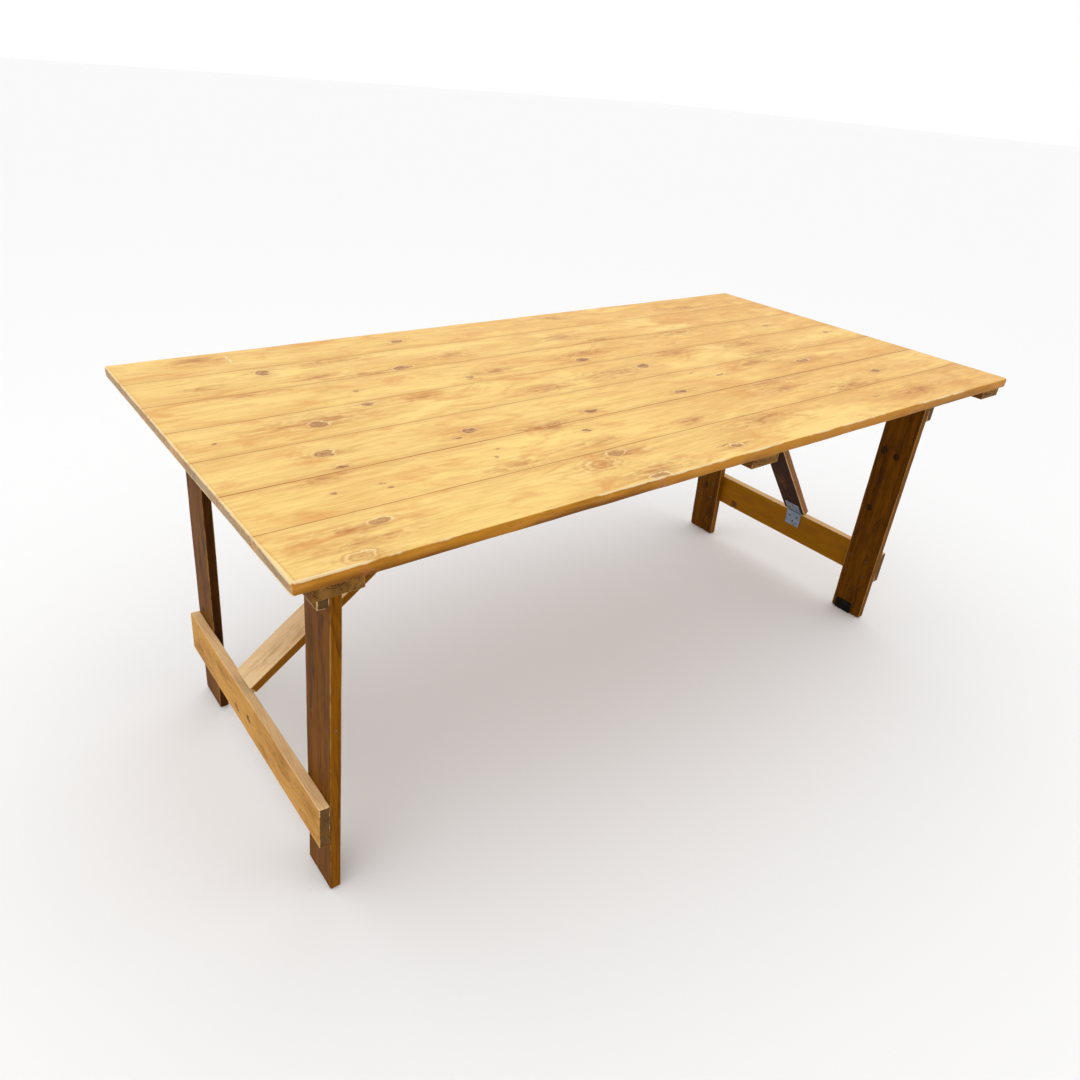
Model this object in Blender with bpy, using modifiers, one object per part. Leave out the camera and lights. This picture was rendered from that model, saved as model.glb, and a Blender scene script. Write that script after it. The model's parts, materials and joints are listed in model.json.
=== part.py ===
"""Folding trestle table: a plank top on cross battens, and two splayed leg
frames that fold inward, each held open by a diagonal strut.

Metres, +Z up. The origin is on the floor under the middle of the top,
+X runs along the boards and -Y is the front.
"""

from math import atan2, cos, pi, radians, sin, tan

import bmesh
import bpy
from mathutils import Matrix

# ---------------------------------------------------------------- dimensions
LENGTH = 1.830  # top, along the boards
WIDTH = 0.910  # top, across the boards
HEIGHT = 0.760  # floor to the upper surface

GAP = 0.0003  # between pieces that bear on each other

PLANKS = 7
PLANK_T = 0.021
ARRIS = 0.0010  # chamfer along each plank's upper edges
JOINT_GAP = 0.0006  # open seam between two planks
TONGUE_T = 0.0056
TONGUE_L = 0.0060
GROOVE_PLAY = 0.0004

BATTEN_T = 0.018
BATTEN_W = 0.075
BATTEN_INSET = 0.0247  # end batten's outer edge from the end of the top
BATTEN_SETBACK = 0.0016  # batten's end grain behind the top's long edge

HINGE_RAIL_W = 0.076

LEG_W = 0.094
LEG_T = 0.020
SPLAY = radians(3.57)  # each frame leans outward at the foot
FRAME_INSET = 0.112  # leg's outer edge from the top's long edge
LEG_OUTER_X = 0.1003  # leg's outer face from the end of the top, at the axis
RAIL_H = 0.094
RAIL_T = 0.020
FOOT_RAIL_TOP = 0.2187  # upper edge above the floor
TOP_RAIL_DROP = 0.0010

STRUT_T = 0.019
STRUT_W = 0.074
STRUT_OFFSET = 0.038  # each strut's centre line from the table's
STRUT_TILT = {"left": radians(35.6), "right": radians(51.3)}
STRUT_START = 0.0006  # square-cut lower end, from the hinge axis
STRUT_HEAD = 0.0036  # head's outer corner below the planks
KEEPER_BEVEL = {"left": radians(24.2), "right": radians(18.2)}
KEEPER_CLEAR = 0.0014
KEEPER_LENGTH = {"left": 0.1212, "right": 0.086}

BARREL_R = 0.0029
BORE_R = 0.0018
PIN_R = 0.0014
LEAF_T = 0.0016
HINGE_OFFSET = BARREL_R + GAP  # hinge axis from each face it is screwed to
LEG_HINGE = {"width": 0.060, "leaf": 0.038, "split": 0.020}
STRUT_HINGE = {"width": 0.050, "leaf": 0.046, "split": 0.0165}

SCREW_HEAD_R = 0.0042
SCREW_SHANK_R = 0.0020
SCREW_L = 0.033

PAD = (0.050, 0.0335, 0.003)  # width, height, thickness

# derived levels
PLANK_Z = HEIGHT - PLANK_T
BATTEN_TOP = PLANK_Z - GAP
BATTEN_Z = BATTEN_TOP - BATTEN_T
AXIS_Z = BATTEN_Z - HINGE_OFFSET
AXIS_X = LENGTH / 2 - (LEG_OUTER_X + (LEG_T + HINGE_OFFSET) / cos(SPLAY))
LEG_Y = WIDTH / 2 - FRAME_INSET - LEG_W / 2
LEG_IN = -HINGE_OFFSET  # leg faces, in a frame's own axes
LEG_OUT = LEG_IN - LEG_T
RAIL_IN = LEG_OUT - GAP


def level(height, x):
    """A frame's own z where its local x meets a level plane of this height."""
    return (height - AXIS_Z + x * sin(SPLAY)) / cos(SPLAY)


FOOT_RAIL_Z = level(FOOT_RAIL_TOP, RAIL_IN)
STRUT_AXIS = (RAIL_IN + HINGE_OFFSET, FOOT_RAIL_Z)

# ---------------------------------------------------------------- clean scene
for old in list(bpy.data.objects):
    bpy.data.objects.remove(old, do_unlink=True)

table = bpy.data.collections.new("folding_table")
cutters = bpy.data.collections.new("cutters")
bpy.context.scene.collection.children.link(table)
bpy.context.scene.collection.children.link(cutters)


# ---------------------------------------------------------------- materials
def material(name, colour, roughness, metallic=0.0):
    made = bpy.data.materials.new(name)
    made.use_nodes = True
    shader = made.node_tree.nodes["Principled BSDF"]
    shader.inputs["Base Color"].default_value = (*colour, 1.0)
    shader.inputs["Roughness"].default_value = roughness
    shader.inputs["Metallic"].default_value = metallic
    made.diffuse_color = (*colour, 1.0)
    return made


TOP_WOOD = material("top_wood", (0.70, 0.42, 0.15), 0.50)
BATTEN_WOOD = material("batten_wood", (0.24, 0.11, 0.04), 0.60)
FRAME_WOOD = material("frame_wood", (0.20, 0.09, 0.03), 0.58)
RAIL_WOOD = material("rail_wood", (0.36, 0.19, 0.07), 0.58)
STRUT_WOOD = material("strut_wood", (0.48, 0.28, 0.12), 0.60)
ZINC = material("zinc", (0.46, 0.48, 0.51), 0.38, 1.0)
STEEL = material("screw_steel", (0.33, 0.31, 0.28), 0.42, 1.0)
RUBBER = material("rubber", (0.018, 0.018, 0.020), 0.80)


# ---------------------------------------------------------------- helpers
def add(name, mesh, finish, parent=None, location=(0, 0, 0), rotation=(0, 0, 0)):
    obj = bpy.data.objects.new(name, mesh)
    obj.data.materials.append(finish)
    obj.parent = parent
    obj.location = location
    obj.rotation_euler = rotation
    table.objects.link(obj)
    return obj


def bevel(obj, width=0.0010):
    edge = obj.modifiers.new("arris", "BEVEL")
    edge.width = width
    edge.segments = 1
    edge.limit_method = "ANGLE"
    edge.angle_limit = radians(30)


def box_mesh(name, size):
    mesh = bpy.data.meshes.new(name)
    shape = bmesh.new()
    bmesh.ops.create_cube(shape, size=1.0)
    bmesh.ops.scale(shape, vec=size, verts=shape.verts)
    shape.to_mesh(mesh)
    shape.free()
    return mesh


def board(name, low, high, finish, parent=None, edge=0.0010):
    size = [b - a for a, b in zip(low, high)]
    centre = [(a + b) / 2 for a, b in zip(low, high)]
    obj = add(name, box_mesh(name, size), finish, parent, centre)
    if edge:
        bevel(obj, edge)
    return obj


def outline_mesh(name, loops, depth):
    """A flat outline in X and Z, with any holes, extruded to a depth along Y."""
    curve = bpy.data.curves.new(name + "_outline", "CURVE")
    curve.dimensions = "2D"
    curve.fill_mode = "BOTH"
    curve.extrude = depth / 2
    for points in loops:
        spline = curve.splines.new("POLY")
        spline.points.add(len(points) - 1)
        for point, (x, z) in zip(spline.points, points):
            point.co = (x, z, 0.0, 1.0)
        spline.use_cyclic_u = True
    guide = bpy.data.objects.new(name + "_outline", curve)
    table.objects.link(guide)
    bpy.context.view_layer.update()
    graph = bpy.context.evaluated_depsgraph_get()
    mesh = bpy.data.meshes.new_from_object(guide.evaluated_get(graph))
    bpy.data.objects.remove(guide, do_unlink=True)
    mesh.materials.clear()
    shape = bmesh.new()
    shape.from_mesh(mesh)
    bmesh.ops.remove_doubles(shape, verts=shape.verts, dist=0.00001)
    bmesh.ops.rotate(
        shape, cent=(0, 0, 0), matrix=Matrix.Rotation(pi / 2, 3, "X"), verts=shape.verts
    )
    bmesh.ops.recalc_face_normals(shape, faces=shape.faces)
    shape.to_mesh(mesh)
    shape.free()
    mesh.name = name
    return mesh


def turned_mesh(name, profile):
    mesh = bpy.data.meshes.new(name)
    shape = bmesh.new()
    verts = [shape.verts.new((r, 0.0, z)) for r, z in profile]
    for a, b in zip(verts, verts[1:]):
        shape.edges.new((a, b))
    shape.to_mesh(mesh)
    shape.free()
    return mesh


def turned(obj, steps=16):
    spin = obj.modifiers.new("turn", "SCREW")
    spin.axis = "Z"
    spin.steps = steps
    spin.render_steps = steps
    spin.use_merge_vertices = True
    spin.merge_threshold = 0.00002
    spin.use_smooth_shade = True


def cutter(name, mesh, parent=None, location=(0, 0, 0), rotation=(0, 0, 0)):
    obj = bpy.data.objects.new(name, mesh)
    obj.parent = parent
    obj.location = location
    obj.rotation_euler = rotation
    obj.hide_render = True
    obj.display_type = "WIRE"
    cutters.objects.link(obj)
    return obj


def cut(obj, tool):
    hole = obj.modifiers.new("cut_" + tool.name, "BOOLEAN")
    hole.operation = "DIFFERENCE"
    hole.solver = "EXACT"
    hole.object = tool


def pivot(name, parent, location, rotation):
    empty = bpy.data.objects.new(name, None)
    empty.empty_display_size = 0.05
    empty.parent = parent
    empty.location = location
    empty.rotation_euler = rotation
    table.objects.link(empty)
    return empty


# ---------------------------------------------------------------- plank top
def plank_outline(first, last):
    """Section of a tongue-and-groove board: groove at -Y, tongue at +Y."""
    pitch = WIDTH / PLANKS
    low = -pitch / 2 + (0 if first else JOINT_GAP / 2)
    high = pitch / 2 - (0 if last else JOINT_GAP / 2)
    base, top = 0.0, PLANK_T
    mid = PLANK_T * 0.45
    half = TONGUE_T / 2
    play = GROOVE_PLAY
    points = [(low, base + ARRIS), (low + ARRIS, base)]
    points += [(high - ARRIS, base), (high, base + ARRIS)]
    if not last:
        reach = high + JOINT_GAP + TONGUE_L - 2 * play
        points += [(high, mid - half), (reach, mid - half)]
        points += [(reach, mid + half), (high, mid + half)]
    points += [(high, top - ARRIS), (high - ARRIS, top)]
    points += [(low + ARRIS, top), (low, top - ARRIS)]
    if not first:
        reach = low + TONGUE_L
        points += [(low, mid + half + play), (reach, mid + half + play)]
        points += [(reach, mid - half - play), (low, mid - half - play)]
    return points


for index in range(PLANKS):
    outline = plank_outline(index == 0, index == PLANKS - 1)
    name = f"plank_{index + 1}"
    mesh = outline_mesh(name, [outline], LENGTH)
    plank = add(name, mesh, TOP_WOOD)
    plank.rotation_euler = (0, 0, pi / 2)
    mesh.transform(Matrix.Scale(-1, 4, (1, 0, 0)))
    mesh.flip_normals()
    plank.rotation_euler = (0, 0, -pi / 2)
    plank.location = (0, (index - (PLANKS - 1) / 2) * WIDTH / PLANKS, PLANK_Z)

# ---------------------------------------------------------------- battens
half_batten = WIDTH / 2 - BATTEN_SETBACK
for name, x in (
    ("batten_left", -LENGTH / 2 + BATTEN_INSET + BATTEN_W / 2),
    ("batten_centre", 0.0),
    ("batten_right", LENGTH / 2 - BATTEN_INSET - BATTEN_W / 2),
):
    board(
        name,
        (x - BATTEN_W / 2, -half_batten, BATTEN_Z),
        (x + BATTEN_W / 2, half_batten, BATTEN_TOP),
        BATTEN_WOOD,
    )


# ---------------------------------------------------------------- hinges
def leaf_outline(leaf):
    """Section of a leaf rolled into its barrel, lying along +X above the axis."""
    steps = 18
    end = 2 * pi + atan2(BARREL_R - LEAF_T, (BARREL_R**2 - (BARREL_R - LEAF_T) ** 2) ** 0.5)
    arc = [pi / 2 + (end - pi / 2) * i / steps for i in range(steps + 1)]
    barrel = [(BARREL_R * cos(a), BARREL_R * sin(a)) for a in arc]
    plate = [(leaf, BARREL_R - LEAF_T), (leaf, BARREL_R)]
    bore = [(BORE_R * cos(-a), BORE_R * sin(-a)) for a in (2 * pi * i / 16 for i in range(16))]
    return [barrel + plate, bore]


def hinge_leaf(name, sizes, knuckles, parent, location, rotation):
    """knuckles is 'outer' or 'middle': the part of the barrel this leaf owns."""
    width, split = sizes["width"], sizes["split"]
    mesh = outline_mesh(name, leaf_outline(sizes["leaf"]), width)
    obj = add(name, mesh, ZINC, parent, location, rotation)
    gap = 0.0004
    reach = BARREL_R + gap
    inner = width / 2 - split
    if knuckles == "outer":
        notches = [(0.0, 2 * (inner + gap / 2))]
    else:
        side = split + 0.004 + gap / 2
        notches = [(s * (inner - gap / 2 + side / 2), side) for s in (-1, 1)]
    for count, (middle, span) in enumerate(notches):
        tool_mesh = box_mesh(f"{name}_notch", (2 * reach, span, 2 * reach + 0.002))
        shift = Matrix.Translation((0.0, middle, 0.0))
        tool_mesh.transform(shift)
        tool = cutter(f"{name}_notch_{count}", tool_mesh, parent, location, rotation)
        cut(obj, tool)
    return obj


def hinge_pin(name, sizes, parent, location):
    half = sizes["width"] / 2
    cap_r, cap = BARREL_R - 0.0003, 0.0012
    profile = [
        (0, half + GAP + cap),
        (cap_r * 0.7, half + GAP + cap),
        (cap_r, half + GAP + cap * 0.4),
        (cap_r, half + GAP),
        (PIN_R, half + GAP),
        (PIN_R, -half - GAP),
        (cap_r, -half - GAP),
        (cap_r, -half - GAP - cap * 0.4),
        (cap_r * 0.7, -half - GAP - cap),
        (0, -half - GAP - cap),
    ]
    obj = add(name, turned_mesh(name, profile), ZINC, parent, location, (pi / 2, 0, 0))
    turned(obj, 12)
    return obj


# ---------------------------------------------------------------- screws
def screw_profile(extra, top):
    head, shank = SCREW_HEAD_R + extra, SCREW_SHANK_R + extra
    return [
        (0, top),
        (head, top),
        (head, -0.0006),
        (shank, -0.0032 - extra / 2),
        (shank, -SCREW_L + 0.006),
        (0, -SCREW_L - extra),
    ]


def wood_screw(name, parent, y, z, pieces):
    """A countersunk screw driven from the leg's inner face into the rail."""
    place = (LEG_IN - 0.0003, y, z)
    turn = (0, pi / 2, 0)
    obj = add(name, turned_mesh(name, screw_profile(0, 0)), STEEL, parent, place, turn)
    turned(obj, 12)
    tool = cutter(name + "_hole", turned_mesh(name + "_hole", screw_profile(0.0004, 0.002)), parent, place, turn)
    turned(tool, 12)
    for piece in pieces:
        cut(piece, tool)


# ---------------------------------------------------------------- leg frames
def strut_points(side):
    """Strut and keeper sections, in level axes from the strut's hinge axis."""
    tilt = STRUT_TILT[side]
    drop = KEEPER_BEVEL[side]
    along, up = (cos(tilt), sin(tilt)), (-sin(tilt), cos(tilt))
    axis_z = AXIS_Z - STRUT_AXIS[0] * sin(SPLAY) + STRUT_AXIS[1] * cos(SPLAY)
    roof = PLANK_Z - axis_z
    upper = HINGE_OFFSET + STRUT_T
    reach = (roof - STRUT_HEAD - upper * up[1]) / along[1]
    corner = (reach * along[0] + upper * up[0], reach * along[1] + upper * up[1])
    lower_reach = reach + STRUT_T / tan(tilt + drop)
    return reach, lower_reach, corner, roof


def leg_frame(side):
    turn = 0.0 if side == "left" else pi
    sign = 1 if side == "left" else -1
    hinge = (-sign * AXIS_X, 0, AXIS_Z)
    frame = pivot(f"{side}_frame_axis", None, hinge, (0, SPLAY, turn))
    level_axes = pivot(f"{side}_hinge_line", None, hinge, (0, 0, turn))

    board(
        f"hinge_rail_{side}",
        (-(LEG_T + HINGE_OFFSET) / cos(SPLAY) + 0.0004, -LEG_Y - LEG_W / 2, HINGE_OFFSET),
        (-(LEG_T + HINGE_OFFSET) / cos(SPLAY) + 0.0004 + HINGE_RAIL_W, LEG_Y + LEG_W / 2, HINGE_OFFSET + BATTEN_T),
        BATTEN_WOOD,
        level_axes,
    )

    head = BATTEN_Z - 0.0004
    outline = [
        (LEG_OUT, level(0, LEG_OUT)),
        (LEG_IN, level(0, LEG_IN)),
        (LEG_IN, level(head, LEG_IN)),
        (LEG_OUT, level(head, LEG_OUT)),
    ]
    legs = {}
    for end, y in (("front", -LEG_Y * sign), ("back", LEG_Y * sign)):
        name = f"leg_{end}_{side}"
        legs[end] = add(name, outline_mesh(name, [outline], LEG_W), FRAME_WOOD, frame, (0, y, 0))
        bevel(legs[end], 0.0012)

    span = LEG_Y + LEG_W / 2
    rail = board(
        f"foot_rail_{side}",
        (RAIL_IN - RAIL_T, -span, FOOT_RAIL_Z - RAIL_H),
        (RAIL_IN, span, FOOT_RAIL_Z),
        RAIL_WOOD,
        frame,
        0.0012,
    )
    board(
        f"top_rail_{side}",
        (RAIL_IN - RAIL_T, -span, -TOP_RAIL_DROP - RAIL_H),
        (RAIL_IN, span, -TOP_RAIL_DROP),
        RAIL_WOOD,
        frame,
        0.0012,
    )

    # four screws at each leg, from the inner face into the foot rail
    for end in ("front", "back"):
        outer = -1 if end == "front" else 1
        across = (0.027, 0.080) if end == "front" else (0.017, 0.068)
        for count, (a, down) in enumerate([(a, d) for d in (0.031, 0.083) for a in across]):
            y = outer * (LEG_Y + LEG_W / 2 - a) * sign
            wood_screw(
                f"screw_{end}_{side}_{count + 1}", frame, y, FOOT_RAIL_Z - down, (legs[end], rail)
            )

    # a butt hinge at each leg head
    for end, y in (("front", -LEG_Y * sign), ("back", LEG_Y * sign)):
        hinge_leaf(f"leg_hinge_fixed_{end}_{side}", LEG_HINGE, "outer", level_axes, (0, y, 0), (0, 0, 0))
        hinge_leaf(f"leg_hinge_leaf_{end}_{side}", LEG_HINGE, "middle", frame, (0, y, 0), (0, pi / 2, pi))
        hinge_pin(f"leg_hinge_pin_{end}_{side}", LEG_HINGE, level_axes, (0, y, 0))

    # the diagonal strut, on a back-flap hinge at the foot rail's upper edge
    centre = STRUT_OFFSET if side == "left" else -STRUT_OFFSET
    strut_place = (STRUT_AXIS[0], centre * sign, STRUT_AXIS[1])
    tilt = STRUT_TILT[side]
    swing = pivot(f"{side}_strut_axis", frame, strut_place, (0, -tilt - SPLAY, 0))
    reach, lower_reach, corner, roof = strut_points(side)
    outline = [
        (STRUT_START, HINGE_OFFSET),
        (lower_reach, HINGE_OFFSET),
        (reach, HINGE_OFFSET + STRUT_T),
        (STRUT_START, HINGE_OFFSET + STRUT_T),
    ]
    name = f"strut_{side}"
    strut = add(name, outline_mesh(name, [outline], STRUT_W), STRUT_WOOD, swing)
    bevel(strut, 0.0010)
    hinge_leaf(f"strut_hinge_rail_{side}", STRUT_HINGE, "outer", frame, strut_place, (0, pi / 2, pi))
    hinge_leaf(f"strut_hinge_leaf_{side}", STRUT_HINGE, "middle", swing, (0, 0, 0), (0, 0, 0))
    hinge_pin(f"strut_hinge_pin_{side}", STRUT_HINGE, frame, strut_place)

    # the keeper that the strut's head bears on, bevelled along the head
    drop = KEEPER_BEVEL[side]
    top, depth = roof - GAP, BATTEN_T
    line_x = corner[0] + KEEPER_CLEAR * sin(drop)
    line_z = corner[1] + KEEPER_CLEAR * cos(drop)
    start = line_x - 0.0008
    start_z = line_z + 0.0008 * tan(drop)
    knee = line_x + (line_z - (top - depth)) / tan(drop)
    back = start + KEEPER_LENGTH[side]
    axis_x = STRUT_AXIS[0] * cos(SPLAY) + STRUT_AXIS[1] * sin(SPLAY)
    axis_z = -STRUT_AXIS[0] * sin(SPLAY) + STRUT_AXIS[1] * cos(SPLAY)
    outline = [(start, start_z), (knee, top - depth), (back, top - depth), (back, top), (start, top)]
    name = f"strut_keeper_{side}"
    mesh = outline_mesh(name, [outline], STRUT_W)
    add(name, mesh, BATTEN_WOOD, level_axes, (axis_x, centre * sign, axis_z))
    return frame


leg_frame("left")
right_frame = leg_frame("right")

# ---------------------------------------------------------------- foot pad
pad_y = (WIDTH / 2 - FRAME_INSET - 0.032 - PAD[0] / 2)
pad = add(
    "foot_pad",
    box_mesh("foot_pad", (PAD[2], PAD[0], PAD[1])),
    RUBBER,
    right_frame,
    (LEG_IN + GAP + PAD[2] / 2, pad_y, level(0.0012, LEG_IN) + PAD[1] / 2),
)
bevel(pad, 0.0006)
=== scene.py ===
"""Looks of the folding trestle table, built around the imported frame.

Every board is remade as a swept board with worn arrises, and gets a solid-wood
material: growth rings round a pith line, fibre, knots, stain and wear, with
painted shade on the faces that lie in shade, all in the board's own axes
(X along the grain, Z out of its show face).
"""

import json
import math

import bmesh
import bpy
import numpy as np
from mathutils import Matrix, Vector


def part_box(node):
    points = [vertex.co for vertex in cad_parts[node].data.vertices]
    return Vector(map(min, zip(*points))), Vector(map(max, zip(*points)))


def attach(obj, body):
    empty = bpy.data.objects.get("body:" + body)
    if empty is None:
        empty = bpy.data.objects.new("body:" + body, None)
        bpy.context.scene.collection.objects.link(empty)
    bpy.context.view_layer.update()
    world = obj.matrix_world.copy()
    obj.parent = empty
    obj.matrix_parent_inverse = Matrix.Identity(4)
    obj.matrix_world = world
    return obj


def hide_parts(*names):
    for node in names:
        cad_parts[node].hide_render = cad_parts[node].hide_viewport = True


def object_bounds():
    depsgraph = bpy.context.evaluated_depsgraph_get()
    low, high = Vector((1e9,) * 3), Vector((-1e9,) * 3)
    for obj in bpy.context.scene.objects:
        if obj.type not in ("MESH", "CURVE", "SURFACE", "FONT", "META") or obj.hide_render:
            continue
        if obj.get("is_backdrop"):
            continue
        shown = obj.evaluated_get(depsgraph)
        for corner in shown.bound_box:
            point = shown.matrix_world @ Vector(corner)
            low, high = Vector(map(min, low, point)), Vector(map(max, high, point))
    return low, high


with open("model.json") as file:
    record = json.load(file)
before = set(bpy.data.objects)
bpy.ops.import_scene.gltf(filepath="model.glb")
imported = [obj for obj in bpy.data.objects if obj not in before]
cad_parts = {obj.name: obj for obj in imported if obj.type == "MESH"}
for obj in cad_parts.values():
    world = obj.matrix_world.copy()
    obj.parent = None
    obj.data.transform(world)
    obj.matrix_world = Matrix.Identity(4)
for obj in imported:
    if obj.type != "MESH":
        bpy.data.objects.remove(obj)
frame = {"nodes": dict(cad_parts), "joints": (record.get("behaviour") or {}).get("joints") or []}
CAD_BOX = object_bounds()
NODES = frame["nodes"]
JOINTS = {j["name"]: j for j in frame["joints"]}
scene = bpy.context.scene
scene.view_settings.view_transform = "Standard"

# ------------------------------------------------------------------ camera
TURN = Vector((2.07533, -0.64291, 0.44814))  # rotation vector, world to camera
EYE = Vector((-0.28501 - 0.915, -0.79521 - 0.455, 0.53731 + 0.760))
FOCAL = 792.743
CENTRE = (525.385, 582.924)

camera_data = bpy.data.cameras.new("camera")
camera_data.sensor_width = 36.0
camera_data.lens = FOCAL / 1080 * 36.0
camera_data.shift_x = (540 - CENTRE[0]) / 1080
camera_data.shift_y = (CENTRE[1] - 540) / 1080
camera_data.clip_start = 0.02
camera = bpy.data.objects.new("camera", camera_data)
scene.collection.objects.link(camera)
look = Matrix.Rotation(TURN.length, 3, TURN.normalized())
camera.matrix_world = Matrix.Translation(EYE) @ Matrix(
    (look[0], -look[1], -look[2])
).transposed().to_4x4()
scene.camera = camera


# ------------------------------------------------------------------ colour
def srgb(r, g, b):
    def linear(v):
        v /= 255
        return v / 12.92 if v <= 0.04045 else ((v + 0.055) / 1.055) ** 2.4

    return (linear(r), linear(g), linear(b), 1.0)


class Net:
    """Short names for building a node tree."""

    def __init__(self, tree):
        self.tree = tree

    def new(self, kind, **props):
        node = self.tree.nodes.new(kind)
        for key, value in props.items():
            setattr(node, key, value)
        return node

    def put(self, socket, value):
        if isinstance(value, bpy.types.NodeSocket):
            self.tree.links.new(value, socket)
        elif value is not None:
            socket.default_value = value

    def math(self, op, a, b=None, c=None, clamp=False):
        node = self.new("ShaderNodeMath", operation=op, use_clamp=clamp)
        for socket, value in zip(node.inputs, (a, b, c)):
            self.put(socket, value)
        return node.outputs[0]

    def vec(self, op, a, b=None, scale=None):
        node = self.new("ShaderNodeVectorMath", operation=op)
        self.put(node.inputs[0], a)
        if b is not None:
            self.put(node.inputs[1], b)
        if scale is not None:
            self.put(node.inputs[3], scale)
        return node.outputs[1] if op in ("LENGTH", "DOT_PRODUCT") else node.outputs[0]

    def xyz(self, vector):
        node = self.new("ShaderNodeSeparateXYZ")
        self.put(node.inputs[0], vector)
        return node.outputs

    def join(self, x, y, z):
        node = self.new("ShaderNodeCombineXYZ")
        for socket, value in zip(node.inputs, (x, y, z)):
            self.put(socket, value)
        return node.outputs[0]

    def noise(self, vector, scale=1.0, detail=3.0, rough=0.55, warp=0.0):
        node = self.new("ShaderNodeTexNoise")
        self.put(node.inputs["Vector"], vector)
        self.put(node.inputs["Scale"], scale)
        self.put(node.inputs["Detail"], detail)
        self.put(node.inputs["Roughness"], rough)
        self.put(node.inputs["Distortion"], warp)
        return node.outputs["Fac"]

    def step(self, value, low, high, to_low=0.0, to_high=1.0):
        node = self.new("ShaderNodeMapRange", interpolation_type="SMOOTHSTEP")
        self.put(node.inputs["Value"], value)
        self.put(node.inputs["From Min"], low)
        self.put(node.inputs["From Max"], high)
        self.put(node.inputs["To Min"], to_low)
        self.put(node.inputs["To Max"], to_high)
        return node.outputs[0]

    def mix(self, fac, a, b, blend="MIX"):
        node = self.new("ShaderNodeMix", data_type="RGBA", blend_type=blend)
        self.put(node.inputs[0], fac)
        self.put(node.inputs[6], a)
        self.put(node.inputs[7], b)
        return node.outputs[2]

    def ramp(self, value, stops):
        node = self.new("ShaderNodeValToRGB")
        self.put(node.inputs[0], value)
        ramp = node.color_ramp
        while len(ramp.elements) < len(stops):
            ramp.elements.new(0.5)
        for element, (place, level) in zip(ramp.elements, stops):
            element.position = place
            element.color = (level, level, level, 1.0)
        return node.outputs[0]


# ------------------------------------------------------------------ knots
FLOAT, VECTOR, COLOUR = "NodeSocketFloat", "NodeSocketVector", "NodeSocketColor"


def group_of(name, inputs, outputs):
    group = bpy.data.node_groups.new(name, "ShaderNodeTree")
    for label, kind in inputs:
        group.interface.new_socket(label, in_out="INPUT", socket_type=kind)
    for label, kind in outputs:
        group.interface.new_socket(label, in_out="OUTPUT", socket_type=kind)
    net = Net(group)
    return group, net, net.new("NodeGroupInput").outputs, net.new("NodeGroupOutput").inputs


MASKS = ("Bend", "Core", "Halo", "Smudge", "Swirl")


def knot_group():
    """One knot through a board, added to the masks of the knots before it."""
    group, net, given, out = group_of(
        "knot",
        [("P", VECTOR), ("Centre", VECTOR), ("Rx", FLOAT), ("Ry", FLOAT), ("Wobble", FLOAT), ("Feather", FLOAT)]
        + [(mask, FLOAT) for mask in MASKS]
        + [("k" + mask, FLOAT) for mask in MASKS + ("Disc",)],
        [(mask, FLOAT) for mask in MASKS],
    )
    d = net.xyz(net.vec("SUBTRACT", given["P"], given["Centre"]))
    u = net.math("DIVIDE", d[0], given["Rx"])
    v = net.math("DIVIDE", d[1], given["Ry"])
    uu, vv = net.math("MULTIPLY", u, u), net.math("MULTIPLY", v, v)
    wobble = net.math("SUBTRACT", given["Wobble"], 0.5)
    q = net.math("MULTIPLY_ADD", wobble, 1.1, net.math("SQRT", net.math("ADD", uu, vv)))

    def falloff(along, across):
        total = net.math("ADD", net.math("MULTIPLY", uu, -1 / along**2), net.math("MULTIPLY", vv, -1 / across**2))
        return net.math("EXPONENT", total)

    bend = net.math("MULTIPLY", net.math("MULTIPLY", d[1], -0.92), falloff(3.0, 2.0))
    core = net.step(q, 1.05, 0.80)
    core = net.math("MULTIPLY", core, net.math("MULTIPLY_ADD", net.math("COSINE", net.math("MULTIPLY", q, 13.0)), -0.18, 0.82))
    ring = net.math("MULTIPLY", net.step(q, 0.94, 1.08), net.step(q, 1.36, 1.14))
    ring = net.math("MULTIPLY", ring, net.step(given["Feather"], 0.40, 0.56, 0.10, 1.0))
    side = net.math("MULTIPLY_ADD", u, 0.55, net.math("MULTIPLY_ADD", wobble, 2.4, v))
    ring = net.math("MULTIPLY", ring, net.step(side, -0.7, 0.3, 0.12, 1.0))
    ring = net.math("MAXIMUM", net.math("MULTIPLY", ring, given["kHalo"]), net.math("MULTIPLY", core, given["kDisc"]))
    feather = net.step(net.math("MULTIPLY_ADD", wobble, 0.7, given["Feather"]), 0.36, 0.66)
    near = falloff(1.35, 1.25)
    wings = net.math("MULTIPLY", falloff(3.2, 1.6), feather)
    smudge = net.math("MAXIMUM", net.math("MULTIPLY", near, net.math("MULTIPLY_ADD", feather, 0.5, 0.5)), wings)
    rings = net.math("MULTIPLY_ADD", net.math("SINE", net.math("MULTIPLY", q, 10.0)), 0.5, 0.5)
    swirl = net.math("MULTIPLY", net.math("POWER", rings, 2.0), net.step(q, 2.5, 1.0))
    net.put(out["Bend"], net.math("MULTIPLY_ADD", bend, given["kBend"], given["Bend"]))
    for label, value in (("Core", core), ("Smudge", smudge), ("Swirl", swirl)):
        net.put(out[label], net.math("MAXIMUM", net.math("MULTIPLY", value, given["k" + label]), given[label]))
    net.put(out["Halo"], net.math("MAXIMUM", ring, given["Halo"]))
    return group


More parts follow.
